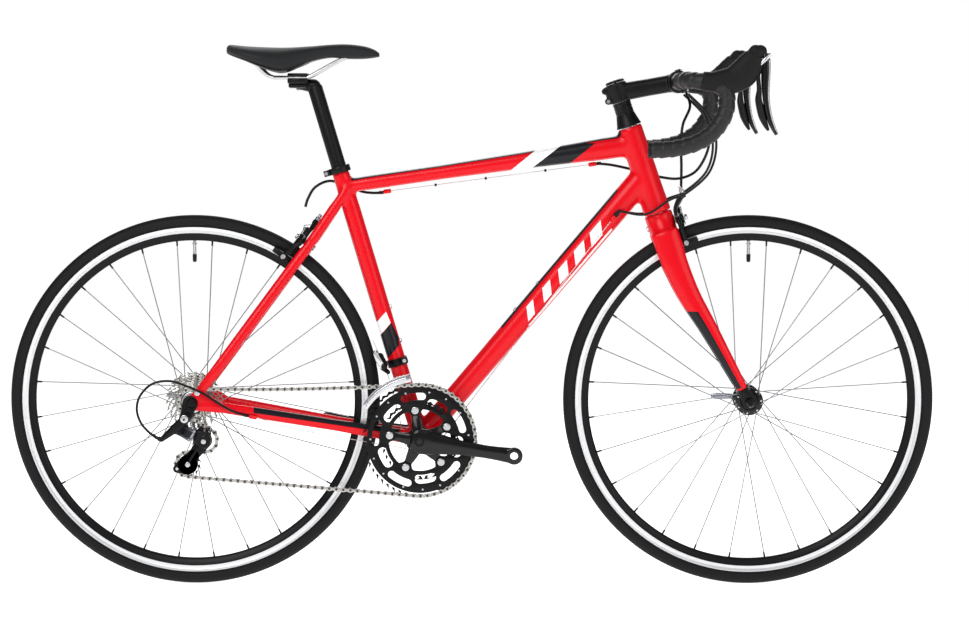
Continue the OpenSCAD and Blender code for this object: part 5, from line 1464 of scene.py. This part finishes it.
# %% Bare wires, ferrules and rubber rings
clamp_anchor = Vector((-168, -38, 425))
right_wire = [barrel_at(-1) - 22.3 * down_dir, bottom + Vector((30, -12, -14)),
              bottom + Vector((0, -10, -26)),
              bottom + Vector((-34, -19, -16)), Vector((-200, -34, 264)), Vector((-300, -48, 283)),
              Vector((-350, -57, 296)), stay_stop]
left_wire = [barrel_at(1) - 22.3 * down_dir, bottom + Vector((30, 12, -14)), bottom + Vector((0, 8, -26)),
             bottom + Vector((-27, -4, -14)), bottom + Vector((-38, -10, 40)), Vector((-150, -30, 380)),
             clamp_anchor,
             clamp_anchor + Vector((-10, -3, 22))]
top_wire = [top_stop_front + stop_back, top_stop_rear]
wires("bare_wires", [right_wire, left_wire, top_wire], 0.7, "frame", steel)
guide_plate = [tube([bottom + Vector((x, y, z)) for x, y, z in ((28, 0, -15.5), (14, 0, -22.4),
    (0, 0, -24.4), (-16, 0, -21))],
                    (1.6, 15), 24, Z, 4)]
piece("cable_guide", guide_plate, "frame", plastic_black, bevel=0.4)
rings = []
for x in (-65, 26, 134):
    t = (x - top_wire[0].x) / (top_wire[1].x - top_wire[0].x)
    rings.append(turned([(0.7, -2), (2.2, -2), (2.6, -1), (2.6, 1), (2.2, 2), (0.7, 2)],
                        top_wire[0] + t * (top_wire[1] - top_wire[0]), top_wire[1] - top_wire[0], 20,
                        closed=True))
piece("rubber_rings", rings, "frame", hood_black)
ferrules = []
for end, way, r in ((Vector(tail_run[0]), Vector((1, -0.1, 0.05)), 3.1),
                    (Vector(bar_to_rear_brake[-1]), Vector((-1, 0, -0.1)), 3.1),
                    (Vector(loop_run[0]), Vector((1, 0.2, -0.2)), 2.9),
                    (Vector(loop_run[-1]), Vector((0.7, 0.1, -0.6)), 2.9)):
    way = way.normalized()
    ferrules.append(turned([(2, -8), (r - 0.4, -8), (r, -7.4), (r, 0.4), (1, 0.6)], end, way, 24))
piece("ferrules", ferrules, "frame", satin_black)
print("fittings and cables made")

# %% [markdown]
# ## Front derailleur
# A band round the seat tube carries the body, and a bent sheet cage of polished steel guides the chain.

# %% Clamp, body and cage
band = turned([(16.2, 0), (18.4, 0), (19, 0.6), (19, 13.4), (18.4, 14), (16.2, 14)], bottom + 138 * seat_up,
              seat_up, 64,
              closed=True)
lug = tube([bottom + 145 * seat_up + 14 * seat_ahead - s * Y for s in (13, 27)], (6.4, 6), 24, seat_up, 4)
piece("derailleur_band", [band, lug], "frame", satin_black, ("front_derailleur_clamp",),
      bevel=0.4)
bolts("band_bolt", [(bottom + 145 * seat_up + 14 * seat_ahead - 26.8 * Y, -Y)], 3.6, 2.6, "frame", steel)
forged("front_derailleur_body",
       limb((-160, -22, 402, 8.4), (-166, -34, 413, 9), (-168, -40, 417, 7)) + limb((-165, -36, 417, 7),
           (-157, -46, 399, 6))
       + limb((-160, -30, 396, 5), (-150, -40, 389, 4)), 1.0, "frame", satin_black, relax=4)
forged("front_derailleur_arm",
       [tube(*spread([Vector((-158, -46, 398)), Vector((-166, -47.5, 409)), Vector((-171, -47.5, 420)),
                      Vector((-173, -46.5, 429))],
                     [(5.5, 2.6), (5, 2.4), (4.6, 2.2), (3.4, 1.8)], 4), 20, X, 3),
        bar((-172, -49.8, 423), (-172, -40, 423), 4.6, 24)], 0.8, "frame", bright_alloy,
        relax=3)
bolts("wire_bolt", [(Vector((-172, -49.6, 423)), -Y), (Vector((-160, -46.4, 401)),
    Vector((-0.2, -1, 0.1)))], 3.2, 2,
      "frame", steel)


def sector(r1, r2, low, high, steps=16):
    """Outline of a ring's part round the bottom bracket, with the inner radius growing towards its rear
    end."""
    w = [math.radians(low + (high - low) * k / steps) for k in range(steps + 1)]
    return ([(bottom.x + r2 * math.cos(a), bottom.z + r2 * math.sin(a)) for a in w]
            + [(bottom.x + (r1 + k * 0.14) * math.cos(a), bottom.z + (r1 + k * 0.14) * math.sin(a))
               for k, a in reversed(list(enumerate(w)))])


cage = [cut_plate([sector(107.5, 121, 98, 149)], -55.6, -54.2, 0.3),
        cut_plate([sector(107.5, 121.4, 98, 149)], -42.2, -40.8, 0.3)]
ridge = [polar(bottom, 114.5 + k * 0.09, 102 + k * 5.2, -55.9) for k in range(9)]
cage.append(tube(ridge, (0.7, 2.6), 16, Y, 2))
for r1, r2, w1, w2 in ((112, 119.5, 144, 149), (116.5, 121, 98, 103)):
    cage.append(cut_plate([sector(r1, r2, w1, w2, 4)], -55, -41.5, 0.4))
piece("front_derailleur_cage_plates", cage, "front_derailleur_cage", bright_alloy,
      ("front_derailleur_cage",), angle=30)
cage_bolt = polar(bottom, 115.5, 146.5, -55.6)
bolts("cage_screw", [(cage_bolt, -Y)], 2.6, 1.4, "front_derailleur_cage", steel)

# %% [markdown]
# ## Rear derailleur
# The bracket hangs from the frame, two links carry the knuckle, and the cage with its two toothed pulleys
# keeps the chain tight.

# %% Bracket, links and knuckle
bracket = [turned([(3, 71.2), (9.8, 71.2), (10.2, 72), (10.2, 85.4), (9.6, 87), (3, 87)],
                  Vector((hanger_eye.x, 0, hanger_eye.z)), -Y, 48)]
bracket += limb((hanger_eye.x, -80, hanger_eye.z, 7), (-526, -79.6, 298, 7.4), (-541, -78, 283, 7),
                (-557, -75, 270, 4.5))
bracket += limb((hanger_eye.x, -79, hanger_eye.z, 9), (-521, -79, 297, 9), (-534, -79, 288, 8.4))
forged("rear_derailleur_bracket_body", bracket, 0.9, "frame", satin_black,
       ("rear_derailleur_bracket",), relax=5)
hanger_bolt = Vector((hanger_eye.x, -87, hanger_eye.z))
bolts("hanger_bolt", [(hanger_bolt, -Y)], 7, 2, "frame", steel)
piece("shift_barrel", [knurled((-557.5, -74.9, 270.2), (-9.5, 2, 3.7), 4.3, 0, 6, 14),
                       turned([(0.8, 0), (3, 0), (3, 4.4), (0.8, 4.4)], Vector((-563.2, -73.7, 272.4)),
                              (-9.5, 2, 3.7), 24, closed=True)],
      "frame", plastic_black)
shift_dir, link_flat = Vector((0.12, 0.95, -0.29)).normalized(), Vector((0.843, -0.2515, -0.475)).normalized()
link_axis = link_flat.cross(shift_dir).normalized()
link_root = Vector((-526.5, -65.4, 289.2))
link_tip = link_root + 38 * (math.cos(math.radians(30)) * link_flat - math.sin(math.radians(30)) * shift_dir)
links_skins = []
for s in (-9, 9):
    path = [link_root + s * link_axis, (link_root + link_tip) / 2 + s * link_axis, link_tip + s * link_axis]
    links_skins.append(tube(*spread(path, [(3.4, 3.4), (2.6, 3.9), (3.4, 3.4)], 6), 24, link_axis, 2.6))
    links_skins += [capsule((*path[0], 3.5), (*(path[0] + 0.1 * link_flat), 3.5)),
                    capsule((*path[2], 3.5), (*(path[2] + 0.1 * link_flat), 3.5))]
link_face = link_axis.cross(link_tip - link_root).normalized()
shell_path = [link_root + 3 * link_face, (link_root + link_tip) / 2 + 5.5 * link_face,
              link_tip + 2 * link_face]
links_skins.append(tube(*spread(shell_path, [(11, 2.2), (9.6, 2.6), (11, 2.4)], 6), 32, link_axis, 3.4))
forged("rear_derailleur_links_pair", links_skins, 0.7, "rear_derailleur_links", dark_alloy,
       ("rear_derailleur_links",), relax=3)
piece("link_pin", [bar(link_root - 12.4 * link_axis, link_root + 12.4 * link_axis, 1.9, 20)],
      "rear_derailleur_links", steel)
knuckle_skins = [turned([(4.1, 71.3), (12.4, 71.3), (13, 72), (13, 85.6), (12, 87.6), (4.1, 87.9)],
                        Vector((guide.x, 0, guide.z)), -Y, 56, closed=True)]
knuckle_skins += limb((-480, -80, 272, 10.4), (-474, -80, 282, 7.6), (-488, -80, 282, 8.4),
                      (-492, -80, 270, 8))
knuckle = forged("lower_knuckle", knuckle_skins, 1.0, "rear_derailleur_knuckle", satin_black,
                 ("rear_derailleur_knuckle",), relax=4)
bore(knuckle, (guide.x, -95, guide.z), (guide.x, -66, guide.z), 4.06)
bolts("stroke_screws", [(Vector((-470, -84.5, 285)), Vector((0.5, -0.6, 0.6))),
                        (Vector((-478, -84.5, 287)), Vector((0, -0.6, 0.8)))],
      1.9, 1.2, "rear_derailleur_knuckle", steel)

# %% Cage and pulleys
def cage_outline(grow):
    """The cage plate: three straight-sided lobes joined into one outline."""
    lobes = [(guide.x, guide.z, 12.5 + grow), (-500, 241, 10), (tension.x, tension.z, 16.4 + grow),
             (-530, 216.5, 7.4)]
    return [hull_outline([lobes[i], lobes[i + 1]]) for i in range(3)]


def cage_plate(grow, y1, y2):
    return [cut_plate([outline], y1, y2, 0.3) for outline in cage_outline(grow)]


plate_rib = [tube([Vector((x, -67.9, z)) for x, z in ((-486, 262), (-496, 249), (-503, 238), (-508, 230))],
                  (0.7, 2.2), 16, Y)]
piece("cage_outer_plate", cage_plate(1.5, -67.4, -65.9) + plate_rib, "rear_derailleur_cage", satin_black,
      ("rear_derailleur_cage",), angle=30)
piece("cage_inner_plate", cage_plate(0, -55.9, -54.4), "rear_derailleur_cage", satin_black,
      angle=30)
piece("cage_pivot", [bar((guide.x, -54.4, guide.z), (guide.x, -88.4, guide.z), 3.95, 24)],
      "rear_derailleur_cage", steel)
piece("tension_pin", [bar((tension.x, -54.4, tension.z), (tension.x, -69.2, tension.z), 2.45, 24)],
      "rear_derailleur_cage", steel)
bolts("cage_bolts", [(Vector((tension.x, -67.5, tension.z)), -Y), (Vector((guide.x, -88.3, guide.z)), -Y)],
      4.4, 1.7,
      "rear_derailleur_cage", steel)
bolts("cage_stop", [(Vector((-530, -67.3, 216.5)), -Y)], 2.6, 1.5, "rear_derailleur_cage", steel)
for c, name, bore_r in ((guide, "guide", 4.05), (tension, "tension", 2.55)):
    windows = [disc_outline(polar(Vector((c.x, 0, c.z)), 11.4, 72 * k + 36), 2.3, 12) for k in range(5)]
    wheel = cut_plate([tooth_outline(c, 11, math.radians(8), 3), disc_outline(c, 7, 32)] + windows, -61.9,
                      -59.9, 0.3)
    piece(f"{name}_pulley_wheel", [wheel], f"{name}_pulley", plastic_black,
          (f"{name}_pulley",), angle=30)
    bush = turned([(bore_r, 0), (7.1, 0), (7.1, 2.6), (bore_r, 2.6)], Vector((c.x, -62.2, c.z)), Y, 32,
                  closed=True)
    piece(f"{name}_pulley_bush", [bush], f"{name}_pulley", steel)
print("derailleurs made")

# %% [markdown]
# ## Brakes
# Both calipers are drawn once, round their bolt: x points away from the crown or the bridge, y to the left
# and z up. The two arms cross in front of each other and carry the pads.

# %% Caliper arms with pads


def front_place(x, y, z):
    return on_steer(351 + z, x, y)


def rear_place(x, y, z):
    return bridge + x * bridge_out + y * Y + z * bridge_up


calipers = (("front", "steering", front_place, 31, {-1: 31, 1: 39}),
            ("rear", "frame", rear_place, 25, {-1: 14, 1: 21}))
for end, base, place, reach, plane in calipers:
    out_way = (place(1, 0, 0) - place(0, 0, 0)).normalized()
    up_way = (place(0, 0, 1) - place(0, 0, 0)).normalized()
    for side, name in ((-1, "right"), (1, "left")):
        x = plane[side]
        arm_body = f"{end}_brake_arm_{name}"
        leg = [place(x, 0, 0.5), place(x, side * 12, 1.5), place(x, side * 24, -3),
               place(0.7 * x + 0.3 * reach, side * 28, -14),
               place(0.3 * x + 0.7 * reach, side * 27, -28), place(reach, side * 24.6, -41)]
        skins = [tube(*spread(leg, [(3.6, 9), (3.8, 8.2), (3.8, 8), (3.9, 7), (4.4, 6), (4.4, 5.6)], 5), 28,
                      out_way, 3),
                 turned([(3.05, -3), (8.8, -3), (9.1, -2.5), (9.1, 2.5), (8.8, 3), (3.05, 3)],
                        place(x, 0, 0), out_way, 48, closed=True),
                 bar(place(reach - 3.6, side * 24.6, -43), place(reach + 3.6, side * 24.6, -43), 5.6, 32, 1)]
        if side > 0:
            ear = [place(x, 22, -2), place(x, 28, 8), place(x, 30, 18)]
            skins.append(tube(*spread(ear, [(3, 7), (3, 6), (3, 5.6)], 5), 24, out_way, 3))
            skins.append(bar(place(x - 3, 30, 17), place(x + 3, 30, 17), 6, 32, 1))
            wire_end = place(x + 4.6, 29, 12)
            bolts(f"{end}_cable_bolt", [(place(x + 3, 30, 17), out_way)], 4.2, 3, arm_body, steel)
            piece(f"{end}_release_cam", [capsule((*place(x - 4.4, 30, 17), 3),
                (*place(x - 4.6, 39, 8), 2))], arm_body,
                  dark_alloy)
        else:
            reach_out = 54 if end == "front" else x + 2
            top = [place(x, 0, 4), place(x + 1, 5, 18), place((x + reach_out) / 2, 11, 31),
                   place(reach_out, 15, 40)]
            skins.append(tube(*spread(top, [(3, 7), (3.4, 6.4), (4.6, 5.8), (5.4, 5.4)], 5), 24, out_way, 3))
            skins.append(bar(place(reach_out, 15, 34), place(reach_out, 15, 43), 5.4, 32, 1))
            piece(f"{end}_brake_barrel", [knurled(place(reach_out, 15, 43), up_way, 4.7, 0, 6.4, 16),
                                          turned([(1, 6.4), (3.2, 6.4), (3.2, 12), (2.6, 13), (1, 13)],
                                              place(reach_out, 15, 43), up_way, 24)],
                  arm_body, steel if end == "front" else dark_alloy)
            wire_top = place(reach_out, 15, 34)
        arm = forged(f"{end}_{name}_arm", skins, 0.9, arm_body, satin_black, (arm_body,),
                     relax=4)
        bore(arm, place(x - 12, 0, 0), place(x + 12, 0, 0), 3.06)
        holder = tube([place(reach + q, side * 18.5, -43) for q in (-17, -16, 21.6, 22.8)],
                      [(3.4, 1.4), (4.8, 2.1), (4.8, 2.1), (3.4, 1.4)], 24, up_way, 5)
        washers = turned([(3, 19.8), (6.4, 19.8), (6.4, 21.4), (4.6, 22.4), (3, 22.4)],
                         place(reach, 0, -43), side * Y, 32)
        stub = bar(place(reach, side * 20, -43), place(reach, side * 31, -43), 3, 20)
        piece(f"{end}_{name}_pad_holder", [holder, washers, stub], arm_body, satin_black)
        rubber = []
        for low, high in ((-16.6, -4.4), (-3.4, 8.4), (9.4, 22.4)):
            rubber.append(tube([place(reach + q, side * 14.3, -43) for q in (low, low + 0.4, high - 0.4,
                high)],
                               [(4.2, 1.7), (4.5, 2.1), (4.5, 2.1), (4.2, 1.7)], 20, up_way, 5))
        piece(f"{end}_{name}_pad", rubber, arm_body, pad_black)
        bolts(f"{end}_{name}_pad_bolt", [(place(reach, side * 30.4, -43), side * Y)], 4.6, 3, arm_body,
              steel)
    wires(f"{end}_caliper_wire", [[wire_top, place(0.5 * reach + 0.5 * plane[1] + 6, 20, 22), wire_end,
                                   wire_end - 26 * up_way + 5 * Y]],
          0.75, f"{end}_brake_arm_left", steel)
    spring = [place(plane[-1] - 5, y, z) for y, z in ((-24, -4), (-15, 6), (-6, 11), (6, 11), (15, 6),
        (24, -4))]
    wires(f"{end}_brake_spring", [flow(spring, 5)], 0.9, base, steel, sides=12)
    if end == "front":
        pivot = [bar(place(-27, 0, 0), place(48, 0, 0), 2.95, 24),
                 turned([(3, 0), (6, 0), (6, 3.4), (5.2, 4.6), (2.6, 4.8), (2.4, 3)],
                 place(44.3, 0, 0), out_way, 6), turned([(2.6, 0), (5, 0), (5, 4), (4.6, 4.6), (2.6, 4.6)],
                     place(-23.4, 0, 0), -out_way, 32)]
        piece("front_brake_pivot", pivot, base, steel, ("front_brake_bolt",), bevel=0.3)
    else:
        pivot = [bar(place(-9, 0, 0), place(29.5, 0, 0), 2.95, 24),
                 turned([(3, 0), (5.5, 0), (5.5, 2.6), (4.8, 3.6), (2.4, 3.8), (2.2, 2)],
                 place(26.1, 0, 0), out_way, 32), turned([(2.6, 0), (5, 0), (5, 4.4), (4.6, 4.8),
                     (2.6, 4.8)], place(-7.2, 0, 0), -out_way, 32)]
        piece("rear_brake_pivot", pivot, base, steel, bevel=0.3)
print("brakes made")

# %% [markdown]
# ## Seat
# The post carries a two-part clamp that grips the saddle's rails. The saddle is a stiff shell under a thin
# padded cover, crowned along its length and pulled in at its waist.

# %% Post, clamp and rails
post_top = on_seat(909)
piece("seat_post_tube", [turned([(10, 0), (13.2, 0), (13.6, 0.5), (13.6, 262), (12, 266), (10, 266)],
                                      post_top - 270 * seat_up, seat_up, 64)], "seat", satin_black,
                                      ("seat_post",))
head_skins = [tube([Vector((x, 0, 906)) for x in (-330, -328, -298, -296)],
                   [(3.4, 14), (5, 17), (5, 17), (3.4, 14)], 32, Z, 4)]
head_skins += limb((*(post_top - 16 * seat_up), 13.2), (*(post_top - Vector((0, 0, 4))), 12.6),
                   (-313, 0, 908.6, 9.4))
forged("seat_post_head", head_skins, 1.0, "seat", satin_black, relax=6)
bolts("tilt_bolt", [(Vector((-312.5, 0, 900)), -Z)], 3.8, 3, "seat", steel)
cradle = [tube([Vector((x, 0, 914.4)) for x in (-331, -329.6, -296.4, -295)],
               [(4.6, 26), (5.4, 27), (5.4, 27), (4.6, 26)], 40, Z, 6)]
lid = [tube([Vector((x, 0, 924.1)) for x in (-331, -329.6, -296.4, -295)],
            [(3, 25), (3.9, 27), (3.9, 27), (3, 25)], 40, Z, 6)]
piece("clamp_cradle", cradle, "seat", satin_black, ("saddle_clamp",), angle=40)
piece("clamp_lid", lid, "seat", satin_black, angle=40)
rail_run = [(-226, 12, 956), (-240, 14, 950), (-262, 18, 938), (-285, 21.5, 925), (-295, 22, 920.3),
            (-300, 22, 920),
            (-350, 22, 920), (-358, 24, 920.5), (-370, 32, 926), (-382, 42, 938), (-390, 46, 950)]
rails = [flow([(x, s * y, z) for x, y, z in rail_run], 6) for s in (-1, 1)]
wires("rails", rails, 3.5, "seat", steel, ("saddle_rails",), 16)

# %% Saddle shell and padded cover
saddle_stations = [(-441, 22, 964, 975), (-436, 44, 960.5, 979), (-425, 60, 956, 978.5),
                   (-405, 70.5, 948.5, 976.5),
                   (-375, 72.5, 936, 975), (-350, 66, 928.4, 974.3), (-334, 58, 929.6, 974.3),
                   (-315, 46, 937, 975),
                   (-300, 39, 943, 976), (-285, 32, 949.5, 977), (-255, 25, 955.5, 979.5),
                   (-225, 21.5, 953.5, 980.3), (-195, 19.5, 953.5, 977), (-176, 16.5, 955.5, 971),
                   (-166, 9, 957.5, 964)]


def between_stations(steps=5):
    """Saddle stations made denser along a smooth curve."""
    high = flow([(x, w, top) for x, w, under, top in saddle_stations], steps)
    low = flow([(x, w, under) for x, w, under, top in saddle_stations], steps)
    return [(a.x, a.y, b.z, a.z) for a, b in zip(high, low)]


def saddle_loft(low_share, high_share, inset, sides=48):
    """Skin between two shares of the saddle's height, drawn in by inset at its sides."""
    verts, faces, rows = [], [], between_stations()
    for x, w, under, top in rows:
        z0, z1 = under + low_share * (top - under), under + high_share * (top - under)
        for k in range(sides):
            a = 2 * math.pi * k / sides
            c, s = math.cos(a), math.sin(a)
            rise = abs(s) ** 0.7
            y = (w - inset) * math.copysign(abs(c) ** 0.8, c)
            z = z0 + (z1 - z0) * (0.3 + 0.7 * rise if s > 0 else 0.3 - 0.3 * rise)
            verts.append(Vector((x, y, z)))
    n = len(rows)
    for i in range(n - 1):
        for k in range(sides):
            k2 = (k + 1) % sides
            faces.append((i * sides + k, i * sides + k2, (i + 1) * sides + k2, (i + 1) * sides + k))
    faces += [tuple(range(sides)), tuple(range(n * sides - 1, (n - 1) * sides - 1, -1))]
    return verts, faces


cover = piece("saddle_cover", [saddle_loft(0.02, 1, 0)], "seat", cover_grey, ("saddle",),
              smooth=1, angle=80)
piece("saddle_shell", [saddle_loft(0, 0.3, 5)], "seat", plastic_black, smooth=1, angle=80)
print("seat made")

# %% [markdown]
# ## Camera, floor and light
# The camera looks slightly down at the right side, far enough away that the wheels look round. Three large soft
# lights and a bright, even surround give the soft light of a studio.

# %% Camera, floor and lights
eye_data = bpy.data.cameras.new("camera")
eye_data.lens, eye_data.sensor_width = 114.75, 36
eye_data.clip_end = 60
eye = loose("camera", eye_data)
eye.location, eye.rotation_euler = (0.052, -5.6, 0.844), (math.radians(86.31), 0, math.radians(0.29))
bpy.context.scene.camera = eye

floor_finish = finish("pale_floor", "f4f4f4", 0, 0.9)
glow = floor_finish.node_tree.nodes["Principled BSDF"]
glow.inputs["Emission Color"].default_value = (1, 1, 1, 1)
glow.inputs["Emission Strength"].default_value = 0.78
floor = loose("floor", mesh_of([([Vector((x, y, 0)) for x, y in ((-8000, -8000), (8000, -8000),
    (8000, 8000), (-8000, 8000))],
                                 [(0, 1, 2, 3)])]))
floor.data.materials.append(floor_finish)

for name, at, size, watts in (("key", (-1.6, -3.2, 3.0), 2.4, 105), ("fill", (2.6, -2.6, 1.8), 2.4, 38),
                              ("back", (0.2, 3.0, 2.6), 2.6, 60)):
    lamp_data = bpy.data.lights.new(name, "AREA")
    lamp_data.shape, lamp_data.size, lamp_data.energy = "SQUARE", size, watts
    lamp = loose(name, lamp_data)
    lamp.location = at
    lamp.rotation_euler = (Vector((0, 0, 0.45)) - Vector(at)).to_track_quat("-Z", "Y").to_euler()

world = bpy.data.worlds.new("studio")
world.use_nodes = True
bpy.context.scene.world = world
world.node_tree.nodes.clear()
backdrop = add_node(world.node_tree, "ShaderNodeBackground", Color=(1, 1, 1, 1), Strength=1.0)
ambient = add_node(world.node_tree, "ShaderNodeBackground", Color=(1, 1, 1, 1), Strength=0.26)
ray = add_node(world.node_tree, "ShaderNodeLightPath")
both_skies = add_node(world.node_tree, "ShaderNodeMixShader",
                      {0: ray.outputs["Is Camera Ray"], 1: ambient.outputs[0], 2: backdrop.outputs[0]})
add_node(world.node_tree, "ShaderNodeOutputWorld", {0: both_skies.outputs[0]})
bpy.context.scene.view_settings.view_transform = "Standard"

# %% Measure and finish
print("faces in all:", sum(counts.values()), "in", len(counts), "pieces")
